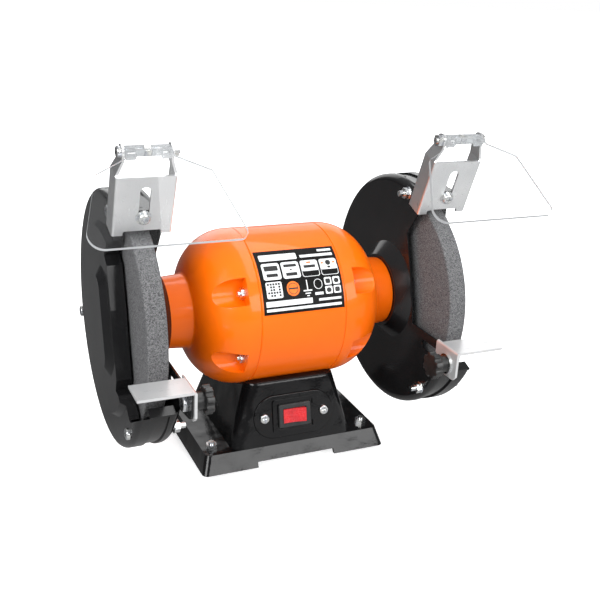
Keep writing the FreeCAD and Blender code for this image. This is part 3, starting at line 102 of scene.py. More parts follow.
def start_group(name, inputs, outputs):
    """A shader node group with named inputs (with their defaults) and outputs."""
    group = bpy.data.node_groups.new(name, "ShaderNodeTree")
    for label, kind, value in inputs:
        socket = group.interface.new_socket(name=label, in_out="INPUT", socket_type=kind)
        if value is not None:
            socket.default_value = value
    for label, kind in outputs:
        group.interface.new_socket(name=label, in_out="OUTPUT", socket_type=kind)
    return group, group.nodes.new("NodeGroupInput").outputs, group.nodes.new("NodeGroupOutput").inputs


def uneven_group():
    """Two scales of noise that move a value between Low and High."""
    group, given, result = start_group(
        "uneven",
        [("Vector", "NodeSocketVector", None), ("Scale", "NodeSocketFloat", 100.0),
         ("Low", "NodeSocketFloat", 0.2), ("High", "NodeSocketFloat", 0.3)],
        [("Value", "NodeSocketFloat")])
    broad = add_node(group, "ShaderNodeTexNoise",
                     {"Vector": given["Vector"], "Scale": given["Scale"], "Detail": 3.0})
    finer = add_node(group, "ShaderNodeMath", {0: given["Scale"], 1: 7.3}, operation="MULTIPLY")
    small = add_node(group, "ShaderNodeTexNoise",
                     {"Vector": given["Vector"], "Scale": finer.outputs[0], "Detail": 2.0})
    both = add_node(group, "ShaderNodeMath", {0: small.outputs["Fac"], 1: 0.35, 2: broad.outputs["Fac"]},
                    operation="MULTIPLY_ADD")
    spread = add_node(group, "ShaderNodeMapRange",
                      {"Value": both.outputs[0], "From Min": 0.45, "From Max": 0.9,
                       "To Min": given["Low"], "To Max": given["High"]})
    group.links.new(spread.outputs["Result"], result["Value"])
    return group


def peel_group():
    """Height of a sprayed or moulded skin: a long wave with a fine peel over it."""
    group, given, result = start_group(
        "peel",
        [("Vector", "NodeSocketVector", None), ("Wave Scale", "NodeSocketFloat", 60.0),
         ("Peel Scale", "NodeSocketFloat", 900.0), ("Peel", "NodeSocketFloat", 0.15)],
        [("Height", "NodeSocketFloat")])
    wave = add_node(group, "ShaderNodeTexNoise",
                    {"Vector": given["Vector"], "Scale": given["Wave Scale"], "Detail": 1.0})
    fine = add_node(group, "ShaderNodeTexNoise",
                    {"Vector": given["Vector"], "Scale": given["Peel Scale"], "Detail": 1.0})
    height = add_node(group, "ShaderNodeMath",
                      {0: fine.outputs["Fac"], 1: given["Peel"], 2: wave.outputs["Fac"]},
                      operation="MULTIPLY_ADD")
    group.links.new(height.outputs[0], result["Height"])
    return group


uneven = uneven_group()
peel = peel_group()


def vary(finish, shader, place, scale, low, high):
    """Moves the shader's roughness between low and high over the surface."""
    tree = finish.node_tree
    spread = add_node(tree, "ShaderNodeGroup", node_tree=uneven)
    tree.links.new(place, spread.inputs["Vector"])
    for label, value in (("Scale", scale), ("Low", low), ("High", high)):
        spread.inputs[label].default_value = value
    tree.links.new(spread.outputs["Value"], shader.inputs["Roughness"])


def tint(finish, shader, place, scale, dark, light):
    """Lets the colour drift between two near shades."""
    tree = finish.node_tree
    drift = add_node(tree, "ShaderNodeTexNoise", {"Vector": place, "Scale": scale, "Detail": 3.0})
    ramp = add_node(tree, "ShaderNodeValToRGB", {"Fac": drift.outputs["Fac"]})
    ramp.color_ramp.elements[0].position = 0.35
    ramp.color_ramp.elements[0].color = (*dark, 1)
    ramp.color_ramp.elements[1].position = 0.65
    ramp.color_ramp.elements[1].color = (*light, 1)
    feed(finish, shader, Base_Color=ramp.outputs["Color"])


def raise_skin(finish, shader, place, wave, fine, share, depth):
    """Bump from the peel group, depth in metres."""
    tree = finish.node_tree
    skin = add_node(tree, "ShaderNodeGroup", node_tree=peel)
    tree.links.new(place, skin.inputs["Vector"])
    for label, value in (("Wave Scale", wave), ("Peel Scale", fine), ("Peel", share)):
        skin.inputs[label].default_value = value
    bump = add_node(tree, "ShaderNodeBump",
                    {"Strength": 1.0, "Distance": depth, "Height": skin.outputs["Height"]})
    feed(finish, shader, Normal=bump.outputs["Normal"])


base_black, shader = start_finish("base gloss black", IOR=1.5, Specular_IOR_Level=0.34)
place = object_place(base_black.node_tree)
tint(base_black, shader, place, 22, (0.0035, 0.0035, 0.004), (0.008, 0.008, 0.0085))
vary(base_black, shader, place, 70, 0.07, 0.20)
raise_skin(base_black, shader, place, 55, 700, 0.06, 0.0011)
use_finish(base_black, "base_housing", "switch_plate")


# Bottom plate and the zinc-plated fixings of the whole machine. Pressed steel and cold-headed
# screws share one bright plate with a faint blue and straw bloom from its passivation.
zinc, shader = start_finish("bright zinc", Metallic=1.0)
place = object_place(zinc.node_tree)
tint(zinc, shader, place, 260, (0.60, 0.62, 0.66), (0.78, 0.78, 0.75))
vary(zinc, shader, place, 420, 0.16, 0.34)
raise_skin(zinc, shader, place, 500, 2600, 0.3, 0.00006)
use_finish(zinc, "base_bottom_plate", "bottom_plate_screws", "foot_screws", "foot_nuts",
           "motor_screws", "tie_bolts", "tie_bolt_nuts", "switch_plate_screws", "capacitor_clamp",
           "cover_screws", "cover_nuts", "guard_mount_screws", "bracket_clamp_screws",
           "hinge_bolt_left", "hinge_bolt_right", "hinge_nuts_left", "hinge_nuts_right",
           "rest_bolt_left", "rest_bolt_right", "arbor_nuts")


# Feet and cord bush. Soft black rubber feet are held by a screw each from below, and the cord
# bush is a flexible moulding locked in the back wall. Both are dull, with a dusty bloom.
rubber, shader = start_finish("soft black rubber", Specular_IOR_Level=0.35)
place = object_place(rubber.node_tree)
tint(rubber, shader, place, 120, (0.012, 0.012, 0.012), (0.030, 0.029, 0.028))
vary(rubber, shader, place, 300, 0.62, 0.86)
raise_skin(rubber, shader, place, 400, 2400, 0.5, 0.00012)
use_finish(rubber, "rubber_feet", "cable_gland")


# Start capacitor. A drawn aluminium can lies in the base under a zinc strap; drawing leaves
# fine lines along the can.
drawn_can, shader = start_finish("drawn aluminium can", Metallic=1.0)
place = object_place(drawn_can.node_tree, stretch=(0.04, 1, 1))
tint(drawn_can, shader, place, 900, (0.60, 0.61, 0.62), (0.76, 0.77, 0.78))
vary(drawn_can, shader, place, 1600, 0.24, 0.40)
raise_skin(drawn_can, shader, place, 900, 2600, 0.4, 0.00004)
use_finish(drawn_can, "capacitor")


# Terminal block and switch tags. The block is ivory nylon with a soft satin skin, and the
# tags are stamped from tinned brass.
nylon, shader = start_finish("ivory nylon", Subsurface_Weight=0.08, Subsurface_Scale=0.002)
place = object_place(nylon.node_tree)
tint(nylon, shader, place, 90, (0.70, 0.68, 0.58), (0.78, 0.76, 0.68))
vary(nylon, shader, place, 500, 0.38, 0.52)
raise_skin(nylon, shader, place, 300, 1900, 0.3, 0.00006)
use_finish(nylon, "terminal_block")

tag_brass, shader = start_finish("tinned brass", Metallic=1.0)
place = object_place(tag_brass.node_tree)
tint(tag_brass, shader, place, 400, (0.62, 0.50, 0.24), (0.74, 0.66, 0.44))
vary(tag_brass, shader, place, 900, 0.22, 0.40)
raise_skin(tag_brass, shader, place, 800, 3000, 0.3, 0.00003)
use_finish(tag_brass, "switch_terminals")


# Switch. A satin black bezel and body snap into the plate, and a gloss red rocker tips in
# them on two pins. The bezel's skin is spark-eroded, so it is finer and duller than the base.
satin_black, shader = start_finish("satin black moulding", IOR=1.5)
place = object_place(satin_black.node_tree)
tint(satin_black, shader, place, 160, (0.016, 0.017, 0.018), (0.026, 0.027, 0.028))
vary(satin_black, shader, place, 800, 0.34, 0.48)
raise_skin(satin_black, shader, place, 700, 3600, 0.6, 0.00008)
use_finish(satin_black, "switch_housing")

rocker_red, shader = start_finish("gloss red moulding", Coat_Weight=0.5, Coat_Roughness=0.06,
                                  Subsurface_Weight=0.12, Subsurface_Scale=0.0015)
place = object_place(rocker_red.node_tree)
tint(rocker_red, shader, place, 240, (0.50, 0.010, 0.016), (0.62, 0.016, 0.022))
vary(rocker_red, shader, place, 700, 0.20, 0.34)
raise_skin(rocker_red, shader, place, 500, 2600, 0.3, 0.00005)
use_finish(rocker_red, "switch_rocker")


# Off and on marks. A ring and a bar stand 0.4 mm proud of the switch plate above its frame;
# they are moulded with the plate.
def finished_piece(name, mesh, finish, body):
    """Turns a bmesh into a piece with this finish, which rides on the named body."""
    bmesh.ops.recalc_face_normals(mesh, faces=mesh.faces)
    data = bpy.data.meshes.new(name)
    mesh.to_mesh(data)
    mesh.free()
    data.materials.append(finish)
    piece = bpy.data.objects.new(name, data)
    bpy.context.scene.collection.objects.link(piece)
    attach(piece, body)


plate_low, plate_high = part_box("switch_plate")
rocker_joint = next(joint for joint in frame["joints"] if joint["name"] == "rocker_tilt")
wall_up = Vector(rocker_joint["axis"]).normalized()
if wall_up.z < 0:
    wall_up = -wall_up
wall_out = Vector((0, -wall_up.z, wall_up.y))
PLATE_RIM_X = 0.024     # past this, the plate's vertices are all on its flat rim
MARK_HEIGHT = 0.0004
MARK_SINK = 0.0003
MARK_UP = 0.0133        # above the plate's middle
MARK_APART = 0.0048     # each side of the plate's middle
MARK_R = 0.00105
MARK_LINE = 0.00022
MARK_SEGMENTS = 40

plate_middle = (plate_low + plate_high) / 2
plate_face = max((Vector(v.co) - plate_middle).dot(wall_out)
                 for v in frame["nodes"]["switch_plate"].data.vertices
                 if abs(v.co.x) > PLATE_RIM_X)
mark_mesh = bmesh.new()
bmesh.ops.create_circle(mark_mesh, segments=MARK_SEGMENTS, radius=MARK_R,
                        matrix=Matrix.Translation((-MARK_APART, MARK_UP, 0)))
grown = bmesh.ops.extrude_edge_only(mark_mesh, edges=list(mark_mesh.edges))
inner_verts = [part for part in grown["geom"] if isinstance(part, bmesh.types.BMVert)]
bmesh.ops.scale(mark_mesh, verts=inner_verts, vec=Vector((1 - 2 * MARK_LINE / MARK_R,) * 2 + (1,)),
                space=Matrix.Translation((MARK_APART, -MARK_UP, 0)))
bmesh.ops.create_grid(mark_mesh, x_segments=1, y_segments=1, size=1,
                      matrix=Matrix.Translation((MARK_APART, MARK_UP, 0))
                      @ Matrix.Diagonal((MARK_LINE, MARK_R, 1, 1)))
risen = bmesh.ops.extrude_face_region(mark_mesh, geom=list(mark_mesh.faces), use_keep_orig=True)
bmesh.ops.translate(mark_mesh, vec=(0, 0, MARK_HEIGHT + MARK_SINK),
                    verts=[part for part in risen["geom"] if isinstance(part, bmesh.types.BMVert)])
bmesh.ops.translate(mark_mesh, vec=(0, 0, plate_face - MARK_SINK), verts=mark_mesh.verts)
bmesh.ops.transform(mark_mesh, verts=mark_mesh.verts,
                    matrix=Matrix.Translation(plate_middle)
                    @ Matrix((Vector((1, 0, 0)), wall_up, wall_out)).transposed().to_4x4())
finished_piece("switch_marks", mark_mesh, base_black, "grinder_body")


# Motor body. A rolled steel shell sits between two die-cast end bells, all stove-enamelled in
# one vivid orange. The enamel is thick and wet-looking, with a faint peel on the castings.
def orange_enamel(name, wave, depth):
    enamel, shader = start_finish(name, IOR=1.35, Specular_IOR_Level=0.3,
                                  Coat_Weight=0.35, Coat_Roughness=0.03)
    place = object_place(enamel.node_tree)
    tint(enamel, shader, place, 16, (0.86, 0.133, 0.0004), (0.93, 0.152, 0.0008))
    vary(enamel, shader, place, 90, 0.30, 0.42)
    raise_skin(enamel, shader, place, wave, 800, 0.05, depth)
    return enamel


use_finish(orange_enamel("orange enamel on steel tube", 35, 0.0003), "motor_shell")
use_finish(orange_enamel("orange enamel on castings", 45, 0.0005), "end_bell_left", "end_bell_right")


# Stator. Thin electrical steel sheets are stacked along the shaft, and enamelled copper wire
# lies in their slots and turns over at each end.
def striped(finish, shader, place, pitch, direction, depth, rings=False):
    """Even ridges, one every pitch metres."""
    tree = finish.node_tree
    kind = {"wave_type": "RINGS", "rings_direction": direction} if rings else {
        "wave_type": "BANDS", "bands_direction": direction}
    ridges = add_node(tree, "ShaderNodeTexWave",
                      {"Vector": place, "Scale": math.pi / 10 / pitch, "Distortion": 0.6,
                       "Detail Scale": 2.0}, **kind)
    bump = add_node(tree, "ShaderNodeBump", {"Distance": depth, "Height": ridges.outputs["Fac"]})
    feed(finish, shader, Normal=bump.outputs["Normal"])


shaft_low, shaft_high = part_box("rotor_shaft")
shaft_middle = (shaft_low + shaft_high) / 2

stacked, shader = start_finish("stacked electrical steel", Metallic=1.0)
place = object_place(stacked.node_tree)
tint(stacked, shader, place, 150, (0.26, 0.26, 0.28), (0.42, 0.42, 0.43))
vary(stacked, shader, place, 600, 0.36, 0.55)
striped(stacked, shader, place, 0.0005, "X", 0.0001)
use_finish(stacked, "stator_core", "rotor_core")

copper, shader = start_finish("enamelled copper wire", Metallic=0.85, Coat_Weight=0.5, Coat_Roughness=0.15)
place = object_place(copper.node_tree, centre=shaft_middle)
tint(copper, shader, place, 300, (0.50, 0.17, 0.06), (0.70, 0.29, 0.12))
vary(copper, shader, place, 700, 0.24, 0.40)
striped(copper, shader, place, 0.0008, "X", 0.0003, rings=True)
use_finish(copper, "stator_windings")


# Rating label. Black film is stuck round the front of the shell and printed with plain white
# panels, an orange disc and bars; it carries no words.
label_film, shader = start_finish("black label film", Specular_IOR_Level=0.12)
place = object_place(label_film.node_tree)
tint(label_film, shader, place, 60, (0.003, 0.003, 0.003), (0.006, 0.006, 0.006))
vary(label_film, shader, place, 260, 0.34, 0.46)
raise_skin(label_film, shader, place, 90, 1200, 0.1, 0.00015)
use_finish(label_film, "rating_label")


def print_ink(name, dark, light):
    ink, shader = start_finish(name, Specular_IOR_Level=0.35)
    place = object_place(ink.node_tree)
    tint(ink, shader, place, 700, dark, light)
    vary(ink, shader, place, 900, 0.36, 0.50)
    raise_skin(ink, shader, place, 400, 3200, 0.3, 0.00003)
    return ink


label_low, label_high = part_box("rating_label")
label_r = math.hypot(label_low.y, label_low.z - shaft_middle.z)
label_from = math.atan2(label_low.z - shaft_middle.z, -label_low.y)
label_to = math.atan2(label_high.z - shaft_middle.z, -label_high.y)
label_wide = label_high.x - label_low.x
label_tall = (label_to - label_from) * label_r
INK_CORNER = 8          # corners are drawn with this many segments each
INK_STEP = 0.0015       # prints bend round the shell in steps of this
INK_FILM = 0.00005


def print_panel(mesh, across, down, radius=0.0, inner=None):
    """A rounded panel on the label. across and down are its edges, as shares of the label;
    radius is its corner, and inner is a ring's line width."""
    half = Vector(((across[1] - across[0]) * label_wide / 2, (down[1] - down[0]) * label_tall / 2, 0))
    corner = max(min(radius, half.x, half.y), 0.00002)
    made = bmesh.ops.create_circle(mesh, cap_ends=inner is None, segments=4 * INK_CORNER, radius=corner,
                                   matrix=Matrix.Rotation(math.pi / (4 * INK_CORNER), 4, "Z"))
    verts = made["verts"]
    for vert in verts:
        vert.co.x += math.copysign(half.x - corner, vert.co.x)
        vert.co.y += math.copysign(half.y - corner, vert.co.y)
    if inner is not None:
        edges = list({edge for vert in verts for edge in vert.link_edges})
        grown = bmesh.ops.extrude_edge_only(mesh, edges=edges)
        inside = [part for part in grown["geom"] if isinstance(part, bmesh.types.BMVert)]
        bmesh.ops.scale(mesh, verts=inside, vec=(1 - inner / half.x, 1 - inner / half.y, 1))
        verts = verts + inside
    right = (across[0] + across[1] - 1) * label_wide / 2
    above = (1 - down[0] - down[1]) * label_tall / 2
    bmesh.ops.translate(mesh, verts=verts, vec=(right, above, 0))


def printed(name, ink, panels, lift):
    """All the panels of one ink, bent round the shell lift above the film."""
    mesh = bmesh.new()
    for panel in panels:
        print_panel(mesh, *panel)
    steps = int(label_tall / INK_STEP)
    for step in range(1, steps):
        bmesh.ops.bisect_plane(mesh, geom=mesh.verts[:] + mesh.edges[:] + mesh.faces[:],
                               plane_co=(0, (step / steps - 0.5) * label_tall, 0), plane_no=(0, 1, 0))
    bmesh.ops.remove_doubles(mesh, verts=mesh.verts, dist=0.000005)
    risen = bmesh.ops.extrude_face_region(mesh, geom=list(mesh.faces), use_keep_orig=True)
    top = {part for part in risen["geom"] if isinstance(part, bmesh.types.BMVert)}
    label_mid = (label_from + label_to) / 2
    for vert in mesh.verts:
        reach = label_r + (lift if vert in top else -0.0001)
        turn = label_mid + vert.co.y / label_r
        vert.co = Vector((vert.co.x, -reach * math.cos(turn), shaft_middle.z + reach * math.sin(turn)))
    finished_piece(name, mesh, ink, "grinder_body")


PANEL_R = 0.0016
white_panels = [
    ((0.045, 0.51), (0.075, 0.185), 0.0010),
    ((0.79, 0.965), (0.045, 0.085), 0.0004), ((0.55, 0.965), (0.125, 0.170), 0.0004),
    ((0.045, 0.262), (0.225, 0.490), PANEL_R), ((0.285, 0.502), (0.225, 0.490), PANEL_R),
    ((0.525, 0.742), (0.225, 0.400), PANEL_R), ((0.765, 0.982), (0.225, 0.400), PANEL_R),
    ((0.525, 0.742), (0.225, 0.490), PANEL_R, 0.00035), ((0.765, 0.982), (0.225, 0.490), PANEL_R, 0.00035),
    ((0.050, 0.245), (0.520, 0.765), 0.0012),
    ((0.548, 0.560), (0.535, 0.685), 0.0001), ((0.500, 0.608), (0.685, 0.705), 0.0001),
    ((0.520, 0.588), (0.728, 0.745), 0.0001), ((0.538, 0.570), (0.765, 0.780), 0.0001),
    ((0.640, 0.745), (0.535, 0.690), 0.0040, 0.00040), ((0.640, 0.745), (0.735, 0.775), 0.0002),
    ((0.030, 0.600), (0.805, 0.885), 0.0001),
    ((0.680, 0.965), (0.830, 0.865), 0.0003), ((0.030, 0.965), (0.915, 0.955), 0.0003),
]
for column in (0.775, 0.882):
    for row in (0.525, 0.660):
        white_panels.append(((column, column + 0.090), (row, row + 0.115), 0.0008))
dark_panels = [
    ((0.070, 0.238), (0.270, 0.350), 0.0005), ((0.085, 0.223), (0.395, 0.445), 0.0004),
    ((0.315, 0.472), (0.265, 0.310), 0.0004), ((0.380, 0.407), (0.345, 0.365), 0.0003),
    ((0.325, 0.462), (0.400, 0.450), 0.0004), ((0.560, 0.705), (0.305, 0.350), 0.0004),
    ((0.842, 0.905), (0.250, 0.335), 0.0030), ((0.855, 0.892), (0.350, 0.380), 0.0003),
    ((0.790, 0.850), (0.548, 0.618), 0.0010), ((0.897, 0.957), (0.548, 0.618), 0.0020),
    ((0.790, 0.850), (0.683, 0.753), 0.0020), ((0.897, 0.957), (0.683, 0.753), 0.0010),
]
for column in range(5):
    for row in range(5):
        if (column * 3 + row * row + column * row) % 3 != 1:
            at = (0.066 + column * 0.0335, 0.540 + row * 0.0420)
            dark_panels.append(((at[0], at[0] + 0.024), (at[1], at[1] + 0.030), 0.0001))
orange_panels = [
    ((0.300, 0.455), (0.535, 0.755), 0.0100), ((0.605, 0.660), (0.250, 0.275), 0.0003),
    ((0.785, 0.815), (0.280, 0.305), 0.0003), ((0.930, 0.960), (0.280, 0.305), 0.0003),
]
emblem_panels = [((0.318, 0.437), (0.560, 0.730), 0.0100, 0.0004), ((0.325, 0.430), (0.632, 0.655), 0.0003)]
white_ink = print_ink("white label ink", (0.74, 0.75, 0.76), (0.83, 0.84, 0.85))
black_ink = print_ink("black label ink", (0.012, 0.012, 0.012), (0.022, 0.022, 0.022))
orange_ink = print_ink("orange label ink", (0.84, 0.15, 0.006), (0.94, 0.19, 0.010))
printed("label_print_white", white_ink, white_panels, INK_FILM)
printed("label_print_orange", orange_ink, orange_panels, INK_FILM * 1.6)
printed("label_print_black", black_ink, dark_panels + emblem_panels, INK_FILM * 2.4)


# Rotor. A ground steel shaft carries the laminated core with its cast aluminium end rings, and
# two ball bearings hold it in the bells. Grinding leaves fine rings round the shaft.
ground_steel, shader = start_finish("ground shaft steel", Metallic=1.0)
place = object_place(ground_steel.node_tree)
tint(ground_steel, shader, place, 200, (0.50, 0.50, 0.51), (0.64, 0.64, 0.65))
vary(ground_steel, shader, place, 800, 0.20, 0.32)
striped(ground_steel, shader, place, 0.00025, "X", 0.00001)
use_finish(ground_steel, "rotor_shaft", "wave_washer", "wheel_flanges")

polished, shader = start_finish("polished bearing steel", Metallic=1.0)
place = object_place(polished.node_tree)
tint(polished, shader, place, 180, (0.58, 0.59, 0.61), (0.70, 0.71, 0.73))
vary(polished, shader, place, 600, 0.07, 0.15)
raise_skin(polished, shader, place, 200, 2000, 0.2, 0.00001)
use_finish(polished, "bearing_outer_rings", "bearing_inner_rings", "bearing_balls")

cast_rings, shader = start_finish("cast aluminium", Metallic=0.95)
place = object_place(cast_rings.node_tree)
tint(cast_rings, shader, place, 120, (0.52, 0.53, 0.54), (0.70, 0.71, 0.72))
vary(cast_rings, shader, place, 500, 0.40, 0.60)
raise_skin(cast_rings, shader, place, 260, 1500, 0.5, 0.00025)
use_finish(cast_rings, "rotor_end_rings")


# Grinding wheels. Grey aluminium oxide grit is fired with a clay bond, so the faces are a tight
# mix of light and dark grains with open pores. Paper blotters lie between wheel and flanges.
def grain_group():
    """Grit: each cell is one grain with its own shade, sunk at its edges."""
    group, given, result = start_group(
        "grit",
        [("Vector", "NodeSocketVector", None), ("Scale", "NodeSocketFloat", 1500.0),
         ("Dark", "NodeSocketColor", (0.05, 0.05, 0.05, 1)),
         ("Light", "NodeSocketColor", (0.4, 0.4, 0.4, 1))],
        [("Color", "NodeSocketColor"), ("Height", "NodeSocketFloat")])
    cells = add_node(group, "ShaderNodeTexVoronoi", {"Vector": given["Vector"], "Scale": given["Scale"]})
    shade = add_node(group, "ShaderNodeSeparateColor", {"Color": cells.outputs["Color"]})
    dirt = add_node(group, "ShaderNodeTexNoise", {"Vector": given["Vector"], "Scale": 900.0, "Detail": 2.0})
    spread = add_node(group, "ShaderNodeMath", {0: dirt.outputs["Fac"], 1: 0.5, 2: -0.25},
                      operation="MULTIPLY_ADD")
    grey = add_node(group, "ShaderNodeMath", {0: shade.outputs["Red"], 1: spread.outputs[0]},
                    operation="ADD", use_clamp=True)
    mixed = add_node(group, "ShaderNodeMix", {"Factor": grey.outputs[0]}, data_type="RGBA")
    group.links.new(given["Dark"], mixed.inputs["A"])
    group.links.new(given["Light"], mixed.inputs["B"])
    group.links.new(next(s for s in mixed.outputs if s.type == "RGBA"), result["Color"])
    edge = add_node(group, "ShaderNodeMath", {0: cells.outputs["Distance"], 1: -1.1, 2: 1.0},
                    operation="MULTIPLY_ADD")
    height = add_node(group, "ShaderNodeMath", {0: shade.outputs["Green"], 1: 0.8, 2: edge.outputs[0]},
                      operation="MULTIPLY_ADD")
    group.links.new(height.outputs[0], result["Height"])
    return group


grit = grain_group()
abrasive, shader = start_finish("grey vitrified abrasive", Specular_IOR_Level=0.35)
tree = abrasive.node_tree
place = object_place(tree)
grains = add_node(tree, "ShaderNodeGroup", node_tree=grit)
tree.links.new(place, grains.inputs["Vector"])
grains.inputs["Scale"].default_value = 2500
grains.inputs["Dark"].default_value = (0.040, 0.040, 0.042, 1)
grains.inputs["Light"].default_value = (0.24, 0.24, 0.245, 1)
bump = add_node(tree, "ShaderNodeBump", {"Distance": 0.00022, "Height": grains.outputs["Height"]})
feed(abrasive, shader, Base_Color=grains.outputs["Color"], Normal=bump.outputs["Normal"])
vary(abrasive, shader, place, 600, 0.70, 0.92)
use_finish(abrasive, "grinding_wheel_left", "grinding_wheel_right")

blotting, shader = start_finish("compressible paper", Specular_IOR_Level=0.2)
place = object_place(blotting.node_tree)
tint(blotting, shader, place, 500, (0.42, 0.32, 0.18), (0.55, 0.45, 0.29))
vary(blotting, shader, place, 900, 0.80, 0.95)
raise_skin(blotting, shader, place, 700, 2600, 0.6, 0.00015)
use_finish(blotting, "wheel_blotters")


# Wheel guards. Pressed steel covers, inner guards and rim bands are dipped in satin-gloss black
# enamel. Three zinc screws close each cover, and three more fix the guard to its collar.
guard_black, shader = start_finish("satin-gloss black enamel", IOR=1.5, Specular_IOR_Level=0.35)
place = object_place(guard_black.node_tree)
tint(guard_black, shader, place, 18, (0.006, 0.006, 0.0065), (0.011, 0.011, 0.0115))
vary(guard_black, shader, place, 60, 0.12, 0.20)
raise_skin(guard_black, shader, place, 22, 900, 0.03, 0.00035)
use_finish(guard_black, "inner_guard_left", "inner_guard_right", "guard_band_left", "guard_band_right",
           "outer_cover_left", "outer_cover_right")


# Shield brackets and tool rests. Both are folded from steel sheet and nickel-plated; the rests are
# duller, and the rolling direction of the sheet shows as fine lines along each piece.
def rolled_nickel(name, stretch, metallic, dark, light):
    plated, shader = start_finish(name, Metallic=metallic)
    place = object_place(plated.node_tree)
    tint(plated, shader, place, 45, dark, light)
    lines = object_place(plated.node_tree, stretch=stretch)
    vary(plated, shader, lines, 1500, 0.27, 0.35)
    raise_skin(plated, shader, lines, 900, 2600, 0.4, 0.000006)
    return plated


rolled_up = rolled_nickel("nickel plate, rolled upwards", (1, 0.3, 0.03), 0.95,
                          (0.74, 0.745, 0.75), (0.82, 0.82, 0.82))
rolled_across = rolled_nickel("nickel plate, rolled across", (0.03, 1, 1), 0.55,
                              (0.66, 0.665, 0.67), (0.72, 0.72, 0.72))
use_finish(rolled_up, "shield_bracket_left", "shield_bracket_right")
use_finish(rolled_across, "tool_rest_left", "tool_rest_right")


# Eye shields. Clear polycarbonate, moulded with two knuckles that turn on the hinge bolt. Its cut
# edges are drawn pale with a painted glow and a painted grey shade, and shadow rays pass straight through,
# so shadows stay faint.
SHIELD_SLOPE = math.radians(45)
SHIELD_PAINTED_EDGE_SHARE = 0.85    # how much of an edge's look is the painted glow over grey
SHIELD_PAINTED_EDGE_GLOW = 0.36
clear, shader = start_finish("clear polycarbonate", Transmission_Weight=1.0, IOR=1.3,
                             Specular_IOR_Level=0.35)
tree = clear.node_tree
place = object_place(tree)
facing = add_node(tree, "ShaderNodeVectorMath",
                  {0: add_node(tree, "ShaderNodeTexCoord").outputs["Normal"],
                   1: (0, -math.sin(SHIELD_SLOPE), math.cos(SHIELD_SLOPE))}, operation="DOT_PRODUCT")
flatness = add_node(tree, "ShaderNodeMath", {0: facing.outputs["Value"]}, operation="ABSOLUTE")
edge = add_node(tree, "ShaderNodeMapRange", {"Value": flatness.outputs[0],
                                             "From Min": 0.97, "From Max": 0.80,
                                             "To Min": 0.0, "To Max": 1.0})
haze = add_node(tree, "ShaderNodeTexNoise", {"Vector": place, "Scale": 160.0, "Detail": 3.0})
sawn = add_node(tree, "ShaderNodeMath", {0: haze.outputs["Fac"], 1: 0.5, 2: 0.2}, operation="MULTIPLY_ADD")
rough = add_node(tree, "ShaderNodeMath", {0: edge.outputs["Result"], 1: sawn.outputs[0], 2: 0.012},
                 operation="MULTIPLY_ADD")
# The cut edges are tinted grey: a painted shade on the edges.
body = add_node(tree, "ShaderNodeValToRGB", {"Fac": edge.outputs["Result"]})
body.color_ramp.elements[0].color = (0.985, 0.992, 0.995, 1)
body.color_ramp.elements[1].color = (0.70, 0.73, 0.75, 1)
feed(clear, shader, Base_Color=body.outputs["Color"], Roughness=rough.outputs[0])
raise_skin(clear, shader, place, 18, 400, 0.02, 0.0001)
straight = add_node(tree, "ShaderNodeBsdfTransparent", {"Color": (0.95, 0.97, 0.975, 1)})
path = add_node(tree, "ShaderNodeLightPath")
# Painted glow on the cut edges: an emission added to a grey diffuse, standing in for light the edges catch.
painted_edge_glow = add_node(tree, "ShaderNodeAddShader", {
    0: add_node(tree, "ShaderNodeBsdfDiffuse", {"Color": (0.15, 0.155, 0.16, 1)}).outputs[0],
    1: add_node(tree, "ShaderNodeEmission", {"Color": (0.96, 0.98, 1, 1),
                                                "Strength": SHIELD_PAINTED_EDGE_GLOW}).outputs[0]})
share = add_node(tree, "ShaderNodeMath", {0: edge.outputs["Result"], 1: SHIELD_PAINTED_EDGE_SHARE},
                 operation="MULTIPLY")
sheet = add_node(tree, "ShaderNodeMixShader", {0: share.outputs[0], 1: shader.outputs["BSDF"],
                                               2: painted_edge_glow.outputs[0]})
either = add_node(tree, "ShaderNodeMixShader", {0: path.outputs["Is Shadow Ray"], 1: sheet.outputs[0],
                                                2: straight.outputs["BSDF"]})
tree.links.new(either.outputs["Shader"], tree.nodes["Material Output"].inputs["Surface"])
use_finish(clear, "eye_shield_left", "eye_shield_right")


# Clamp knobs. Black phenolic mouldings grip the rest bolts; their skin is a little coarser and
# duller than the switch.
phenolic, shader = start_finish("black phenolic moulding", IOR=1.55)
place = object_place(phenolic.node_tree)
tint(phenolic, shader, place, 200, (0.010, 0.010, 0.010), (0.020, 0.020, 0.019))
vary(phenolic, shader, place, 700, 0.28, 0.44)
raise_skin(phenolic, shader, place, 300, 2200, 0.4, 0.00012)
use_finish(phenolic, "rest_knob_left", "rest_knob_right")


# Floor and light. A softbox stands on the left, a long strip hangs over the motor, and a card each
# in front and behind fill in. The white sweep glows to the eye; in gloss it shows a painted reflection that
# dims behind the machine.
FLOOR_HALF = 6.0
FLOOR_GLOW = 0.66
APRON_FRONT_Y = -0.12       # where the sweep's reflection starts to dim, going back
APRON_BACK_Y = 0.06
APRON_BRIGHT = 0.55
APRON_DIM = 0.03
ROOM_LOW = 0.10             # room light at the horizon and overhead
ROOM_HIGH = 0.55
ROOM_FILL = 0.30            # added for matt surfaces only
floor_mesh = bmesh.new()
bmesh.ops.create_grid(floor_mesh, x_segments=2, y_segments=2, size=FLOOR_HALF,
                      matrix=Matrix.Translation((0, 0, cad_low.z)))
floor_data = bpy.data.meshes.new("floor")
floor_mesh.to_mesh(floor_data)
floor_mesh.free()
floor_white, shader = start_finish("white sweep", Base_Color=(0.9, 0.9, 0.9, 1), Specular_IOR_Level=0.0)
tree = floor_white.node_tree
vary(floor_white, shader, object_place(tree), 3, 0.80, 0.90)
glow = add_node(tree, "ShaderNodeEmission", {"Color": (1, 1, 1, 1), "Strength": FLOOR_GLOW})
lifted = add_node(tree, "ShaderNodeAddShader", {0: shader.outputs["BSDF"], 1: glow.outputs[0]})
across = add_node(tree, "ShaderNodeSeparateXYZ", {0: add_node(tree, "ShaderNodeTexCoord").outputs["Object"]})
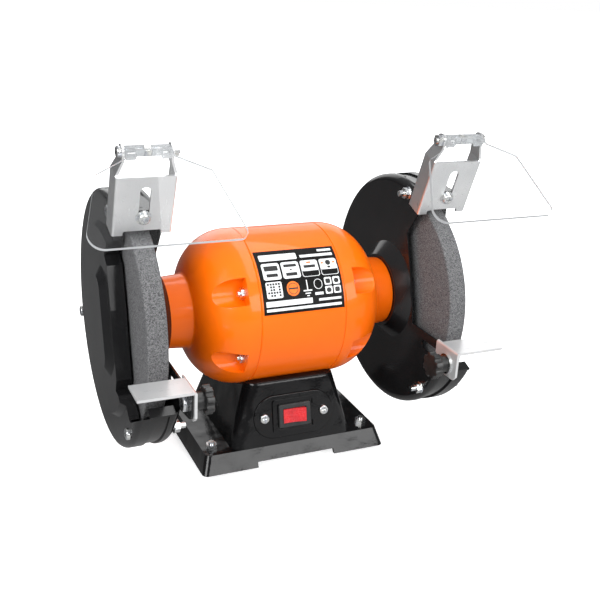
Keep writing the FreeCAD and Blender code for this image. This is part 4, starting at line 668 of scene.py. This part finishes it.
# Painted reflection: in gloss the floor glows bright in front and dims behind the machine.
apron = add_node(tree, "ShaderNodeMapRange", {"Value": across.outputs["Y"],
                                              "From Min": APRON_FRONT_Y, "From Max": APRON_BACK_Y,
                                              "To Min": APRON_BRIGHT, "To Max": APRON_DIM})
mirrored = add_node(tree, "ShaderNodeAddShader", {
    0: add_node(tree, "ShaderNodeBsdfDiffuse", {"Color": (0.12, 0.12, 0.12, 1)}).outputs[0],
    1: add_node(tree, "ShaderNodeEmission", {"Color": (1, 1, 1, 1),
                                             "Strength": apron.outputs[0]}).outputs[0]})
bounced = add_node(tree, "ShaderNodeBsdfDiffuse", {"Color": (0.60, 0.60, 0.60, 1)})
path = add_node(tree, "ShaderNodeLightPath")
plain = add_node(tree, "ShaderNodeMixShader", {0: path.outputs["Is Glossy Ray"], 1: bounced.outputs[0],
                                               2: mirrored.outputs[0]})


def in_sight(tree):
    """1 for light that reaches the eye straight or through a clear shield."""
    path = add_node(tree, "ShaderNodeLightPath")
    either = add_node(tree, "ShaderNodeMath", {0: path.outputs["Is Camera Ray"],
                                               1: path.outputs["Is Transmission Ray"]}, operation="MAXIMUM")
    return either.outputs[0]


seen = add_node(tree, "ShaderNodeMixShader", {0: in_sight(tree), 1: plain.outputs[0], 2: lifted.outputs[0]})
tree.links.new(seen.outputs[0], tree.nodes["Material Output"].inputs["Surface"])
floor_data.materials.append(floor_white)
floor = bpy.data.objects.new("floor", floor_data)
bpy.context.scene.collection.objects.link(floor)

world = bpy.data.worlds.new("studio")
bpy.context.scene.world = world
world.use_nodes = True
tree = world.node_tree
room = tree.nodes["Background"]
outward = add_node(tree, "ShaderNodeTexCoord").outputs["Generated"]
toward = add_node(tree, "ShaderNodeSeparateXYZ", {0: outward})
height = add_node(tree, "ShaderNodeMapRange", {"Value": toward.outputs["Z"],
                                               "From Min": 0.0, "From Max": 0.9,
                                               "To Min": ROOM_LOW, "To Max": ROOM_HIGH})
path = add_node(tree, "ShaderNodeLightPath")
fill = add_node(tree, "ShaderNodeMath", {0: path.outputs["Is Diffuse Ray"], 1: ROOM_FILL,
                                         2: height.outputs["Result"]}, operation="MULTIPLY_ADD")
tree.links.new(fill.outputs[0], room.inputs["Strength"])
room.inputs["Color"].default_value = (0.97, 0.98, 1.0, 1)
backdrop = add_node(tree, "ShaderNodeBackground", {"Color": (1, 1, 1, 1), "Strength": 1.0})
seen = add_node(tree, "ShaderNodeMixShader", {0: in_sight(tree), 1: room.outputs[0], 2: backdrop.outputs[0]})
tree.links.new(seen.outputs[0], tree.nodes["World Output"].inputs["Surface"])

middle = Vector((0, 0, (cad_low.z + cad_high.z) / 2))


def soft_light(name, place, wide, tall, power):
    """A rectangular light that faces the middle of the grinder."""
    lamp = bpy.data.lights.new(name, "AREA")
    lamp.shape = "RECTANGLE"
    lamp.size, lamp.size_y, lamp.energy = wide, tall, power
    light = bpy.data.objects.new(name, lamp)
    light.location = place
    light.rotation_euler = (middle - Vector(place)).to_track_quat("-Z", "Y").to_euler()
    bpy.context.scene.collection.objects.link(light)


soft_light("left softbox", (-1.20, -0.95, 0.95), 0.9, 0.9, 21)
soft_light("top strip", (0.35, 0.02, 1.30), 1.9, 0.34, 7.5)
soft_light("front card", (0.62, -1.30, 0.66), 1.0, 0.6, 10)
soft_light("back card", (0.60, 1.30, 0.62), 1.9, 0.8, 6.5)


# Camera. It stands in front of the grinder, to its left and above it, and looks down a little.
CAMERA_PLACE = (-0.2400, -0.5556, 0.3369)
CAMERA_TURN = math.radians(25.11)
CAMERA_DROP = math.radians(20.81)
CAMERA_ROLL = math.radians(3.19)
camera_data = bpy.data.cameras.new("camera")
camera_data.sensor_width = 36
camera_data.lens = 54.36
camera_data.clip_start = 0.01
camera = bpy.data.objects.new("camera", camera_data)
ahead = Vector((math.sin(CAMERA_TURN) * math.cos(CAMERA_DROP), math.cos(CAMERA_TURN) * math.cos(CAMERA_DROP),
                -math.sin(CAMERA_DROP)))
level = Vector((math.cos(CAMERA_TURN), -math.sin(CAMERA_TURN), 0))
right = level * math.cos(CAMERA_ROLL) + level.cross(ahead) * math.sin(CAMERA_ROLL)
up = right.cross(ahead)
camera.matrix_world = Matrix.Translation(CAMERA_PLACE) @ Matrix((right, up, -ahead)).transposed().to_4x4()
bpy.context.scene.collection.objects.link(camera)
bpy.context.scene.camera = camera
bpy.context.scene.view_settings.view_transform = "Standard"
